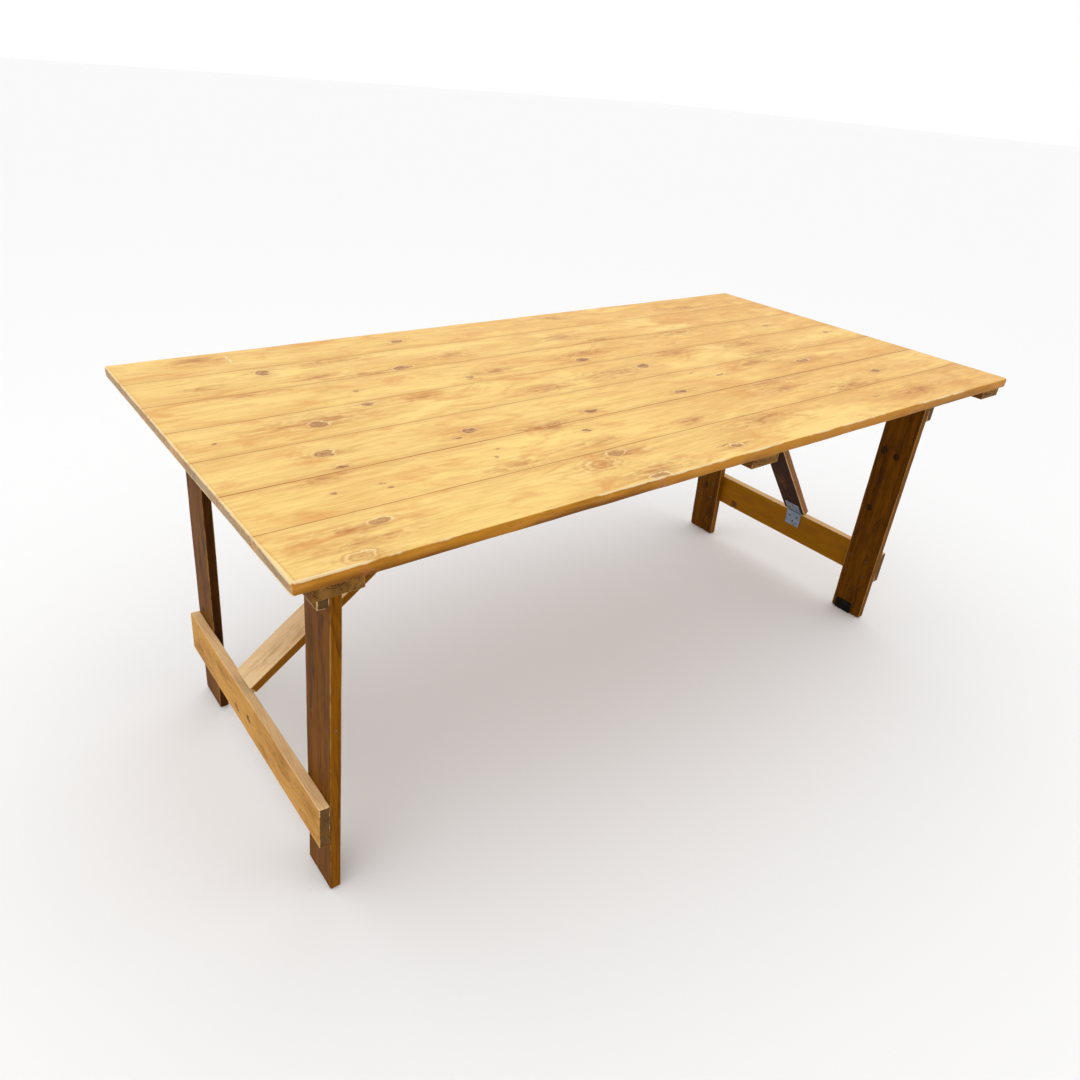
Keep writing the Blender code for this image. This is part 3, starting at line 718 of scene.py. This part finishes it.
# ------------------------------------------------------------------ top
# knots of each board of the top: x, y, half length, half width, kind
TOP_KNOTS = {
    1: [(-0.812, -0.050, 0.020, 0.011, "r"), (-0.787, -0.018, 0.024, 0.009, "s"), (-0.749, 0.024, 0.016, 0.009, "p"), (-0.790, 0.020, 0.026, 0.010, "s"), (-0.333, 0.022, 0.027, 0.016, "r"), (-0.281, 0.046, 0.019, 0.010, "p"), (-0.277, -0.058, 0.020, 0.008, "p"), (-0.250, -0.040, 0.026, 0.013, "s"), (-0.248, 0.040, 0.018, 0.010, "s"), (-0.082, -0.021, 0.016, 0.0022, "slit"), (-0.053, -0.031, 0.013, 0.008, "p"), (0.46, 0.01, 0.012, 0.004, "t"), (0.10, 0.035, 0.030, 0.012, "s"), (0.62, -0.01, 0.030, 0.012, "s")],
    2: [(-0.767, 0.001, 0.006, 0.004, "t"), (-0.758, 0.054, 0.017, 0.010, "s"), (-0.688, -0.002, 0.005, 0.004, "t"), (-0.683, -0.020, 0.005, 0.004, "t"), (-0.475, -0.003, 0.004, 0.004, "t"), (-0.466, -0.043, 0.020, 0.010, "s"), (-0.455, 0.024, 0.004, 0.004, "t"), (-0.305, 0.060, 0.016, 0.009, "s"), (-0.274, -0.031, 0.016, 0.010, "s"), (-0.260, 0.021, 0.009, 0.006, "d"), (-0.034, -0.034, 0.016, 0.010, "s"), (0.310, 0.008, 0.020, 0.008, "s"), (0.312, 0.048, 0.028, 0.012, "s"), (0.480, -0.048, 0.031, 0.014, "s"), (0.637, -0.006, 0.017, 0.008, "d")],
    3: [(-0.719, 0.008, 0.018, 0.012, "p"), (-0.717, -0.050, 0.009, 0.006, "d"), (-0.492, -0.036, 0.013, 0.0022, "slit"), (-0.453, -0.016, 0.015, 0.010, "d"), (-0.336, -0.058, 0.018, 0.010, "s"), (-0.300, -0.058, 0.014, 0.009, "s"), (-0.188, -0.037, 0.014, 0.008, "d"), (0.066, -0.033, 0.015, 0.008, "d"), (0.185, 0.045, 0.009, 0.003, "t"), (0.239, 0.009, 0.014, 0.004, "t"), (0.397, 0.040, 0.026, 0.012, "s"), (0.527, -0.004, 0.022, 0.009, "p")],
    4: [(-0.857, -0.009, 0.005, 0.004, "t"), (-0.674, -0.004, 0.018, 0.014, "p"), (-0.674, 0.012, 0.032, 0.018, "s"), (-0.554, 0.049, 0.012, 0.008, "d"), (-0.449, 0.042, 0.016, 0.011, "s"), (-0.181, -0.025, 0.022, 0.012, "s"), (0.019, -0.010, 0.030, 0.015, "s"), (0.115, 0.001, 0.016, 0.012, "d"), (0.259, 0.046, 0.022, 0.012, "s"), (0.491, 0.030, 0.020, 0.012, "s"), (0.499, -0.047, 0.028, 0.013, "s"), (0.828, 0.012, 0.014, 0.007, "t")],
    5: [(-0.747, 0.055, 0.020, 0.009, "s"), (-0.539, -0.009, 0.008, 0.006, "t"), (-0.291, -0.030, 0.011, 0.009, "t"), (-0.222, -0.019, 0.020, 0.012, "s"), (0.011, -0.036, 0.018, 0.010, "d"), (0.053, 0.003, 0.024, 0.014, "s"), (0.407, 0.045, 0.026, 0.014, "s"), (0.711, -0.004, 0.015, 0.007, "t")],
    6: [(-0.790, -0.010, 0.010, 0.012, "s"), (-0.660, 0.033, 0.014, 0.016, "d"), (-0.570, -0.035, 0.014, 0.012, "s"), (-0.496, 0.048, 0.026, 0.012, "s"), (-0.480, -0.056, 0.019, 0.009, "s"), (-0.391, -0.050, 0.020, 0.010, "d"), (-0.247, -0.016, 0.017, 0.013, "s"), (0.076, -0.005, 0.024, 0.015, "s"), (0.171, -0.056, 0.020, 0.009, "s")],
    7: [(-0.690, 0.010, 0.0022, 0.030, "w"), (-0.672, -0.020, 0.020, 0.0016, "w"), (-0.745, 0.025, 0.016, 0.016, "s"), (-0.310, -0.010, 0.013, 0.010, "d"), (0.180, 0.020, 0.016, 0.012, "s"), (0.640, -0.030, 0.022, 0.012, "s")],
}
PITHS = {1: (0.030, -0.050), 2: (-0.012, -0.034), 3: (0.050, -0.060), 4: (-0.036, -0.046), 5: (0.012, -0.040), 6: (-0.050, -0.055), 7: (0.022, -0.048)}
TONES = {1: 0.0, 2: 0.30, 3: 0.12, 4: 0.22, 5: 0.42, 6: 0.30, 7: 0.5}
SEAMS = {1: 0.45, 2: 0.75, 3: 0.42, 4: 0.48, 5: 0.48, 6: 0.36}
level = Matrix.Identity(4)
count = 7
half_width = CAD_BOX[1][1]
board_pitch = 2 * half_width / count


def blend(a, b, t):
    return tuple(p * (1 - t) + q * t for p, q in zip(a, b))


for index in range(1, count + 1):
    centre = (index - (count + 1) / 2) * board_pitch
    first, last = index == 1, index == count
    gap = 0.00022
    low_y = centre - board_pitch / 2 + (0 if first else gap)
    high_y = centre + board_pitch / 2 - (0 if last else gap)
    warm = TONES[index]
    look_top = tint(
        HONEY,
        face=(blend(HONEY["face"][0], HONEY["far"][0], warm * 0.7), blend(HONEY["face"][1], HONEY["far"][1], warm)),
        bare=0.76 if (first or last) else 0.0,
        long_arris=0.0032,
        top_wear=1.0,
        corner=1.0 if first else 0.0,
        seam_low=0.0 if first else SEAMS[index - 1],
        seam_high=0.0 if last else SEAMS[index],
    )
    outer, seam = 0.0036, 0.00045
    radii = (
        0.0020 if last else 0.0006,
        outer if last else seam,
        outer if first else seam,
        0.0020 if first else 0.0006,
    )
    side_hi, side_lo = (0.0055 if last else 0.0), (0.0055 if first else 0.0)
    ends = [(0.0036, 0.0018, side_hi, side_lo), (0.0036, 0.0018, side_hi, side_lo)]
    mid = -0.0105 + 0.021 * 0.45
    board(
        f"plank_{index}", level, "top", look_top, radii, ends, 11 + index,
        knots=[k for k in TOP_KNOTS[index]], slot="top_wood", pith=PITHS[index], spacing=0.0046 + 0.0004 * (index % 3),
        wear=0.5 if (first or last) else 0.35,
        tongue=None if last else (mid, 0.0028, 0.0054),
        groove=None if first else (mid, 0.0032, 0.0060),
        half_y=(low_y, high_y),
    )

# ------------------------------------------------------------------ battens
cross = basis((0, 1, 0), (0, 0, 1))
small = (0.0012, 0.0012, 0.0012, 0.0012)
soft_end = (0.0012, 0.0012, 0.0012, 0.0012)
for number, name in enumerate(("batten_left", "batten_centre", "batten_right", "hinge_rail_left", "hinge_rail_right")):
    board(name, cross, "top", UNDER, small, [soft_end, soft_end], 31 + number,
          knots=[(0.12 * (number - 2), 0.012, 0.011, 0.008, "d"), (-0.24 + 0.05 * number, -0.014, 0.009, 0.006, "t")],
          slot="batten_wood", pith=(0.008, 0.030 - 0.008 * number), spacing=0.0034, wear=0.4)
along = basis((1, 0, 0), (0, 0, 1))
for number, side in enumerate(("left", "right")):
    turned = basis((1, 0, 0), (0, 0, 1)) if side == "left" else basis((-1, 0, 0), (0, 0, 1))
    node = f"strut_keeper_{side}"
    points = local_points(node, turned)
    half = tuple((points.max(0) - points.min(0)) / 2)
    centre = Vector((points.max(0) + points.min(0)) / 2)
    matrix = turned @ Matrix.Translation(centre)
    copy = NODES[node].data.copy()
    copy.transform(matrix.inverted())
    shape = bmesh.new()
    shape.from_mesh(copy)
    bmesh.ops.remove_doubles(shape, verts=shape.verts, dist=0.00002)
    bmesh.ops.dissolve_limit(shape, angle_limit=math.radians(2), verts=shape.verts, edges=shape.edges)
    bmesh.ops.bevel(shape, geom=list(shape.edges), offset=0.0012, segments=3, affect="EDGES", profile=0.5)
    bmesh.ops.recalc_face_normals(shape, faces=shape.faces)
    copy.clear_geometry()
    shape.to_mesh(copy)
    shape.free()
    copy.shade_smooth()
    copy.set_sharp_from_angle(angle=math.radians(38))
    place(f"{node}_block", copy, matrix, "top", node, timber(f"{node}_wood", half, UNDER, [(0.01, 0.012, 0.008, 0.006, "d")], 41 + number, (0.01, -0.03), 0.0034), "batten_wood")

# ------------------------------------------------------------------ frames
SPLAY = math.radians(3.57)
TILT = {"left": math.radians(35.6), "right": math.radians(51.3)}
LEG_KNOTS = {
    "front_left": [(0.108, 0.016, 0.012, 0.006, "s"), (0.039, 0.028, 0.014, 0.006, "s"), (-0.100, -0.012, 0.016, 0.008, "s"), (-0.235, 0.014, 0.010, 0.007, "d"), (0.215, -0.014, 0.012, 0.007, "s")],
    "back_left": [(0.067, -0.030, 0.012, 0.008, "s"), (0.012, 0.003, 0.014, 0.008, "s"), (-0.120, 0.016, 0.010, 0.007, "d"), (0.240, -0.018, 0.010, 0.008, "s")],
    "front_right": [(0.161, -0.029, 0.012, 0.010, "d"), (0.155, 0.010, 0.011, 0.009, "d"), (-0.013, -0.022, 0.010, 0.008, "d"), (0.100, -0.010, 0.020, 0.010, "s"), (-0.060, 0.016, 0.024, 0.010, "s"), (-0.290, 0.010, 0.020, 0.012, "s")],
    "back_right": [(-0.292, 0.024, 0.018, 0.012, "s"), (-0.341, 0.020, 0.014, 0.012, "s"), (-0.190, -0.004, 0.010, 0.008, "d"), (0.080, 0.012, 0.012, 0.009, "d")],
}
for number, side in enumerate(("left", "right")):
    hand = -1 if side == "left" else 1
    body = f"{side}_frame"
    out = Vector((hand * math.cos(SPLAY), 0, math.sin(SPLAY)))
    up = Vector((-hand * math.sin(SPLAY), 0, math.cos(SPLAY)))
    leg_axes = basis(up, out)
    for end in ("front", "back"):
        seed = 51 + number * 2 + (end == "back")
        key = f"{end}_{side}"
        look = tint(BROWN)
        # painted shade: the right legs' inner faces and edges, under the table, get tones for their shade
        if side == "right":
            look.update(back=(srgb(104, 60, 0), srgb(54, 26, 0)), edge=(srgb(126, 76, 8), srgb(76, 42, 2)))
        # painted shade: the back-left leg's edges are much darker, as its front edge lies in shade
        elif end == "back":
            look.update(edge=(srgb(72, 38, 6), srgb(38, 18, 2)))
        worn_foot = (0.0060, 0.0045, 0.0052, 0.0064)
        board(f"leg_{key}", leg_axes, body, look, (0.0016, 0.0020, 0.0020, 0.0016), [worn_foot, soft_end], seed,
              knots=LEG_KNOTS[key], slot="frame_wood", pith=(0.014 * hand, -0.026), spacing=0.0036, wear=0.5)
    rail_axes = basis((0, hand, 0), out)
    RAIL_KNOTS = {
        "left": [(-0.230, 0.011, 0.020, 0.010, "s"), (-0.143, 0.019, 0.022, 0.011, "s"), (0.006, -0.001, 0.010, 0.008, "d"), (0.175, 0.012, 0.046, 0.022, "s"), (0.274, 0.018, 0.034, 0.018, "s"), (0.090, -0.026, 0.026, 0.010, "s"), (0.310, -0.028, 0.020, 0.008, "s"), (-0.290, -0.020, 0.026, 0.012, "s"), (-0.060, -0.020, 0.012, 0.008, "t")],
        "right": [(0.191, -0.031, 0.013, 0.011, "d"), (0.151, 0.006, 0.018, 0.009, "s"), (-0.090, 0.014, 0.022, 0.010, "s"), (-0.214, 0.008, 0.012, 0.008, "s"), (0.060, -0.016, 0.020, 0.009, "s")],
    }
    board(f"foot_rail_{side}", rail_axes, body, RAIL, (0.0014, 0.0022, 0.0018, 0.0014), [(0.0022, 0.0016, 0.0022, 0.0016)] * 2, 61 + number,
          knots=RAIL_KNOTS[side], slot="rail_wood", pith=(-0.012, -0.022), spacing=0.0034, wear=0.5)
    board(f"top_rail_{side}", rail_axes, body, tint(RAIL, face=BROWN["face"], edge=BROWN["edge"], stain=BROWN["stain"]), small, [soft_end, soft_end], 65 + number,
          knots=[(0.09, 0.01, 0.012, 0.008, "d")], slot="rail_wood", pith=(0.010, 0.024), spacing=0.0034, wear=0.4)
    tilt = TILT[side]
    strut_axes = basis((-hand * math.cos(tilt), 0, math.sin(tilt)), (hand * math.sin(tilt), 0, math.cos(tilt)))
    STRUT_KNOTS = {"left": [(-0.345, -0.004, 0.024, 0.012, "s"), (-0.300, -0.020, 0.022, 0.010, "s"), (-0.160, 0.0, 0.02, 0.01, "s"), (0.05, 0.012, 0.012, 0.008, "d"), (0.24, -0.014, 0.010, 0.008, "d")], "right": [(0.04, 0.008, 0.011, 0.008, "d"), (-0.17, -0.012, 0.016, 0.010, "s")]}
    # painted shade: the right strut, under the table, gets darker face tones than the left strut
    strut_look = STRUT if side == "left" else tint(STRUT, mottle=0.15, cloud=0.3, face=(srgb(150, 104, 66), srgb(104, 66, 38)), edge=(srgb(150, 102, 60), srgb(98, 62, 34)))
    board(f"strut_{side}", strut_axes, f"{side}_strut", strut_look, (0.0014, 0.0018, 0.0018, 0.0014), [(0.0014, 0.0010, 0.0014, 0.0014), (0.0010,) * 4], 71 + number,
          knots=STRUT_KNOTS[side], slot="strut_wood", pith=(0.010, -0.024), spacing=0.0036, wear=0.45)


# ------------------------------------------------------------------ metal
def metal(name, light, dark, rough, patina, seed=0.0, scale=1.0):
    made = bpy.data.materials.new(name)
    made.use_nodes = True
    net = Net(made.node_tree)
    shader = made.node_tree.nodes["Principled BSDF"]
    P = net.vec("ADD", net.new("ShaderNodeTexCoord").outputs["Object"], (seed, seed * 0.7, seed * 1.3))
    spangle = net.new("ShaderNodeTexVoronoi")
    net.put(spangle.inputs["Vector"], P)
    spangle.inputs["Scale"].default_value = 260.0 * scale
    cloud = net.noise(P, 90.0 * scale, 4.0, 0.6)
    grime = net.noise(P, 34.0 * scale, 5.0, 0.65)
    fine = net.noise(P, 900.0 * scale, 3.0, 0.6)
    tone = net.math("ADD", net.math("MULTIPLY", net.xyz(spangle.outputs["Color"])[0], 0.45), net.math("MULTIPLY", cloud, 0.6), clamp=True)
    colour = net.mix(tone, dark, light)
    stain = net.step(grime, 0.54, 0.72)
    colour = net.mix(net.math("MULTIPLY", stain, 0.55), colour, patina)
    net.put(shader.inputs["Base Color"], colour)
    net.put(shader.inputs["Roughness"], net.math("ADD", net.math("MULTIPLY_ADD", tone, 0.16, rough), net.math("MULTIPLY", stain, 0.25), clamp=True))
    shader.inputs["Metallic"].default_value = 0.85
    bump = net.new("ShaderNodeBump")
    bump.inputs["Strength"].default_value = 0.25
    bump.inputs["Distance"].default_value = 0.0003
    net.put(bump.inputs["Height"], net.math("ADD", net.math("MULTIPLY", fine, 0.5), net.math("MULTIPLY", stain, 0.5)))
    net.put(shader.inputs["Normal"], bump.outputs[0])
    return made


ZINC = metal("zinc_plate", srgb(158, 172, 188), srgb(88, 101, 116), 0.30, srgb(92, 84, 76))
STEEL = metal("screw_steel", srgb(150, 140, 122), srgb(84, 74, 60), 0.34, srgb(70, 48, 30), 3.0, 2.0)
DARK_STEEL = metal("dull_screw", srgb(98, 80, 60), srgb(46, 32, 22), 0.42, srgb(52, 32, 18), 7.0, 2.0)


def evaluated(obj):
    graph = bpy.context.evaluated_depsgraph_get()
    mesh = bpy.data.meshes.new_from_object(obj.evaluated_get(graph))
    bpy.data.objects.remove(obj, do_unlink=True)
    return mesh


def screw_head(name, radius, height, dome):
    """A countersunk head with a cross recess, its top near z = 0."""
    mesh = bpy.data.meshes.new(name)
    shape = bmesh.new()
    rings = [(radius * 0.55, -height), (radius * 0.97, -height * 0.12), (radius, 0.0), (radius * 0.93, dome * 0.35), (radius * 0.75, dome * 0.7), (radius * 0.45, dome * 0.92)]
    sides = 28
    loops = [[shape.verts.new((r * math.cos(2 * math.pi * i / sides), r * math.sin(2 * math.pi * i / sides), z)) for i in range(sides)] for r, z in rings]
    for a, b in zip(loops, loops[1:]):
        for i in range(sides):
            j = (i + 1) % sides
            shape.faces.new((a[i], a[j], b[j], b[i]))
    top = shape.verts.new((0, 0, dome))
    for i in range(sides):
        shape.faces.new((loops[-1][i], loops[-1][(i + 1) % sides], top))
    shape.faces.new(list(reversed(loops[0])))
    bmesh.ops.recalc_face_normals(shape, faces=shape.faces)
    shape.to_mesh(mesh)
    shape.free()
    obj = bpy.data.objects.new(name, mesh)
    scene.collection.objects.link(obj)
    tools = []
    for turn in (0, math.pi / 2):
        tool_mesh = bpy.data.meshes.new(name + "_tool")
        shape = bmesh.new()
        bmesh.ops.create_cube(shape, size=1.0)
        bmesh.ops.scale(shape, vec=(radius * 1.05, radius * 0.24, height * 1.2), verts=shape.verts)
        for v in shape.verts:
            if v.co.z < 0:
                v.co.x *= 0.45
                v.co.y *= 0.6
        bmesh.ops.rotate(shape, cent=(0, 0, 0), matrix=Matrix.Rotation(turn + 0.0001, 3, "Z"), verts=shape.verts)
        shape.to_mesh(tool_mesh)
        shape.free()
        tool = bpy.data.objects.new(name + "_tool", tool_mesh)
        scene.collection.objects.link(tool)
        cut = obj.modifiers.new("recess", "BOOLEAN")
        cut.operation = "DIFFERENCE"
        cut.solver = "EXACT"
        cut.object = tool
        tools.append(tool)
    bpy.context.view_layer.update()
    made = evaluated(obj)
    for tool in tools:
        bpy.data.objects.remove(tool, do_unlink=True)
    made.name = name
    made.shade_smooth()
    made.set_sharp_from_angle(angle=math.radians(35))
    return made


HEAD = screw_head("screw_head_shape", 0.0042, 0.0030, 0.0005)
SMALL_HEAD = screw_head("hinge_screw_shape", 0.0034, 0.0018, 0.0004)
for m in (HEAD, SMALL_HEAD):
    m.materials.clear()
HEAD.materials.append(DARK_STEEL)
SMALL_HEAD.materials.append(DARK_STEEL)

for number, side in enumerate(("left", "right")):
    hand = -1 if side == "left" else 1
    inward = Vector((-hand * math.cos(SPLAY), 0, -math.sin(SPLAY)))
    up = Vector((-hand * math.sin(SPLAY), 0, math.cos(SPLAY)))
    axes = basis(up, inward)
    for end in ("front", "back"):
        for count in range(1, 5):
            node = f"screw_{end}_{side}_{count}"
            points = local_points(node, axes)
            middle = (points.min(0) + points.max(0)) / 2
            top = points.max(0)[2]
            spin = Matrix.Rotation(0.4 + 1.3 * count + number + 2 * (end == "back"), 4, "Z")
            matrix = axes @ Matrix.Translation(Vector((middle[0], middle[1], top + 0.0002))) @ spin
            head = place(f"{node}_head", HEAD, matrix, f"{side}_frame", node)


# a nail left in the near-left leg's front edge
nail_mesh = bpy.data.meshes.new("nail_shape")
shape = bmesh.new()
loops = []
for r, z in ((0.0008, -0.004), (0.0008, -0.0002), (0.0017, -0.0001), (0.0019, 0.0003), (0.0016, 0.0007), (0.0007, 0.0009)):
    loops.append([shape.verts.new((r * math.cos(math.tau * i / 16), r * math.sin(math.tau * i / 16), z)) for i in range(16)])
for a, b in zip(loops, loops[1:]):
    for i in range(16):
        shape.faces.new((a[i], a[(i + 1) % 16], b[(i + 1) % 16], b[i]))
shape.faces.new(list(reversed(loops[0])))
shape.faces.new(loops[-1])
bmesh.ops.recalc_face_normals(shape, faces=shape.faces)
shape.to_mesh(nail_mesh)
shape.free()
nail_mesh.shade_smooth()
nail_mesh.set_sharp_from_angle(angle=math.radians(40))
axes = basis((math.sin(SPLAY), 0, math.cos(SPLAY)), (-math.cos(SPLAY), 0, math.sin(SPLAY)))
points = local_points("leg_front_left", axes)
low, high = points.min(0), points.max(0)
seat = axes @ Matrix.Translation(Vector(((low[0] + high[0]) / 2 + 0.024, low[1], (low[2] + high[2]) / 2))) @ Matrix.Rotation(math.pi / 2, 4, "X")
place("leg_nail", nail_mesh, seat, "left_frame", material=STEEL, slot="screw_steel")

# ------------------------------------------------------------------ hinges
def leaf_plate(name, width, depth, thick, holes, hole_r, corner=0.004):
    """A plate from the barrel at x = 0 to x = depth, drilled for its screws."""
    curve = bpy.data.curves.new(name, "CURVE")
    curve.dimensions = "2D"
    curve.fill_mode = "BOTH"
    curve.extrude = thick / 2 - 0.00018
    curve.bevel_depth = 0.00018
    curve.bevel_resolution = 1
    half = width / 2
    outline = [(0.0, -half)]
    for cx, cy, start in ((depth - corner, -half + corner, -90), (depth - corner, half - corner, 0)):
        outline += [(cx + corner * math.cos(math.radians(start + 90 * i / 6)), cy + corner * math.sin(math.radians(start + 90 * i / 6))) for i in range(7)]
    outline.append((0.0, half))
    loops = [outline]
    for x, y in holes:
        loops.append([(x + hole_r * math.cos(-2 * math.pi * i / 20), y + hole_r * math.sin(-2 * math.pi * i / 20)) for i in range(20)])
    for points in loops:
        spline = curve.splines.new("POLY")
        spline.points.add(len(points) - 1)
        for point, (x, y) in zip(spline.points, points):
            point.co = (x, y, 0, 1)
        spline.use_cyclic_u = True
    obj = bpy.data.objects.new(name, curve)
    scene.collection.objects.link(obj)
    bpy.context.view_layer.update()
    return evaluated(obj)


PLATES = {}


def knuckle(shape, radius, low, high):
    made = bmesh.ops.create_cone(shape, cap_ends=True, segments=28, radius1=radius, radius2=radius, depth=high - low)
    bmesh.ops.rotate(shape, cent=(0, 0, 0), matrix=Matrix.Rotation(math.pi / 2, 3, "X"), verts=made["verts"])
    bmesh.ops.translate(shape, vec=(0, (low + high) / 2, 0), verts=made["verts"])
    rims = {e for v in made["verts"] for e in v.link_edges if abs(e.verts[0].co.y - e.verts[1].co.y) < 1e-7 and len(e.link_faces) == 2 and any(len(f.verts) > 4 for f in e.link_faces)}
    bmesh.ops.bevel(shape, geom=list(rims), offset=0.00035, segments=2, affect="EDGES", profile=0.5)


def hinge_leaf(node, body, matrix, width, depth, split, owner, holes):
    """Leaf along +X above the barrel's axis, rolled into its knuckles."""
    thick, radius = 0.0016, 0.0029
    if width not in PLATES:
        PLATES[width] = leaf_plate("plate", width, depth, thick, holes, 0.0037)
    plate = PLATES[width]
    shape = bmesh.new()
    shape.from_mesh(plate)
    bmesh.ops.translate(shape, vec=(0, 0, radius - thick / 2), verts=shape.verts)
    # the plate starts beyond the other leaf's knuckles
    for v in shape.verts:
        if v.co.x < 0.0001:
            v.co.x = radius + 0.0004
    inner = width / 2 - split
    spans = [(-inner + 0.0003, inner - 0.0003)] if owner == "middle" else [(-width / 2, -inner - 0.0001), (inner + 0.0001, width / 2)]
    for low, high in spans:
        knuckle(shape, radius, low, high)
        tab = bmesh.ops.create_cube(shape, size=1.0)
        bmesh.ops.scale(shape, vec=(radius + 0.0008, high - low - 0.0004, thick * 0.96), verts=tab["verts"])
        bmesh.ops.translate(shape, vec=((radius + 0.0008) / 2, (low + high) / 2, radius - thick / 2), verts=tab["verts"])
    bmesh.ops.recalc_face_normals(shape, faces=shape.faces)
    mesh = bpy.data.meshes.new(node + "_leaf")
    shape.to_mesh(mesh)
    shape.free()
    mesh.shade_smooth()
    mesh.set_sharp_from_angle(angle=math.radians(35))
    piece = place(node + "_leaf", mesh, matrix, body, node, ZINC, "zinc")
    for count, (x, y) in enumerate(holes):
        spin = Matrix.Rotation(0.5 + 1.9 * count, 4, "Z")
        flip = Matrix.Rotation(math.pi, 4, "X")
        seat = matrix @ Matrix.Translation(Vector((x, y, radius - thick + 0.0002))) @ flip @ spin
        place(f"{node}_screw_{count + 1}", SMALL_HEAD, seat, body, slot="screw_steel")
    return piece


LEG_HOLES = [(0.013, -0.019), (0.013, 0.019), (0.028, 0.0)]
FLAP_HOLES = [(0.0165, -0.013), (0.0165, 0.013), (0.033, 0.0)]
for number, side in enumerate(("left", "right")):
    hand = -1 if side == "left" else 1
    fold = Vector(JOINTS[f"{side}_fold"]["pos_m"])
    swing = Vector(JOINTS[f"{side}_strut_swing"]["pos_m"])
    inward = Vector((-hand, 0, 0))
    out = Vector((hand * math.cos(SPLAY), 0, math.sin(SPLAY)))
    down = Vector((hand * math.sin(SPLAY), 0, -math.cos(SPLAY)))
    for end in ("front", "back"):
        low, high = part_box(f"leg_hinge_fixed_{end}_{side}")
        middle = Vector((fold.x, (low.y + high.y) / 2, fold.z))
        fixed = Matrix.Translation(middle) @ basis(inward, (0, 0, 1))
        hinge_leaf(f"leg_hinge_fixed_{end}_{side}", "top", fixed, 0.060, 0.038, 0.020, "outer", LEG_HOLES)
        moving = Matrix.Translation(middle) @ basis(down, out)
        hinge_leaf(f"leg_hinge_leaf_{end}_{side}", f"{side}_frame", moving, 0.060, 0.038, 0.020, "middle", LEG_HOLES)
    tilt = TILT[side]
    along_strut = Vector((-hand * math.cos(tilt), 0, math.sin(tilt)))
    over_strut = Vector((hand * math.sin(tilt), 0, math.cos(tilt)))
    hinge_leaf(f"strut_hinge_rail_{side}", f"{side}_frame", Matrix.Translation(swing) @ basis(down, out), 0.050, 0.046, 0.0165, "outer", FLAP_HOLES)
    hinge_leaf(f"strut_hinge_leaf_{side}", f"{side}_strut", Matrix.Translation(swing) @ basis(along_strut, over_strut), 0.050, 0.046, 0.0165, "middle", FLAP_HOLES)
for node in NODES:
    if "_pin_" in node:
        NODES[node].data.materials.clear()
        NODES[node].data.materials.append(ZINC)

# ------------------------------------------------------------------ pad
rubber = bpy.data.materials.new("rubber_pad")
rubber.use_nodes = True
net = Net(rubber.node_tree)
shader = rubber.node_tree.nodes["Principled BSDF"]
P = net.new("ShaderNodeTexCoord").outputs["Object"]
dust = net.noise(P, 120.0, 5.0, 0.65)
pore = net.noise(P, 1500.0, 3.0, 0.6)
net.put(shader.inputs["Base Color"], net.mix(net.step(dust, 0.42, 0.72), srgb(7, 7, 8), srgb(30, 26, 22)))
net.put(shader.inputs["Roughness"], net.math("MULTIPLY_ADD", dust, 0.25, 0.62))
shader.inputs["Specular IOR Level"].default_value = 0.12
bump = net.new("ShaderNodeBump")
bump.inputs["Strength"].default_value = 0.4
bump.inputs["Distance"].default_value = 0.0004
net.put(bump.inputs["Height"], pore)
net.put(shader.inputs["Normal"], bump.outputs[0])
inward = Vector((-math.cos(SPLAY), 0, -math.sin(SPLAY)))
up = Vector((-math.sin(SPLAY), 0, math.cos(SPLAY)))
axes = basis(up, inward)
points = local_points("foot_pad", axes)
low, high = points.min(0), points.max(0)
centre = Vector((low + high) / 2)
size = high - low
mesh = board_mesh("foot_pad_block", -size / 2, size / 2, ((-size[0] / 2, 0.0), (size[0] / 2, 0.0)), (0.0006, 0.0010, 0.0010, 0.0006),
                  [(0.0010, 0.0002, 0.0022, 0.0022)] * 2, 91, 0.25, pitch=0.003)
place("foot_pad_block", mesh, axes @ Matrix.Translation(centre), "right_frame", "foot_pad", rubber, "rubber")

# ------------------------------------------------------------------ studio
floor_mesh = bpy.data.meshes.new("floor")
floor_mesh.from_pydata([(-60, -60, 0), (60, -60, 0), (60, 60, 0), (-60, 60, 0)], [], [(0, 1, 2, 3)])
floor = bpy.data.objects.new("floor", floor_mesh)
scene.collection.objects.link(floor)
floor.location.z = -0.0004
pale = bpy.data.materials.new("pale_floor")
pale.use_nodes = True
pale.node_tree.nodes["Principled BSDF"].inputs["Base Color"].default_value = (0.95, 0.95, 0.95, 1)
pale.node_tree.nodes["Principled BSDF"].inputs["Roughness"].default_value = 0.9
floor_mesh.materials.append(pale)
floor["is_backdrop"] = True

world = bpy.data.worlds.new("studio")
scene.world = world
world.use_nodes = True
world.node_tree.nodes["Background"].inputs["Color"].default_value = (1.0, 1.0, 1.0, 1)
world.node_tree.nodes["Background"].inputs["Strength"].default_value = 1.0


def softbox(name, place_at, aim, size, power, tone=(1, 1, 1)):
    data = bpy.data.lights.new(name, "AREA")
    data.shape = "RECTANGLE"
    data.size, data.size_y = size
    data.energy = power
    data.color = tone
    obj = bpy.data.objects.new(name, data)
    scene.collection.objects.link(obj)
    obj.location = place_at
    obj.rotation_euler = (Vector(aim) - Vector(place_at)).to_track_quat("-Z", "Y").to_euler()


softbox("overhead", (-0.4, 0.2, 3.2), (0, 0, 0.6), (3.6, 3.0), 8)
softbox("left_fill", (-3.6, -1.4, 1.6), (0, 0, 0.4), (2.4, 2.0), 8)

# ------------------------------------------------------------------ finish
bpy.context.view_layer.update()
low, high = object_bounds()
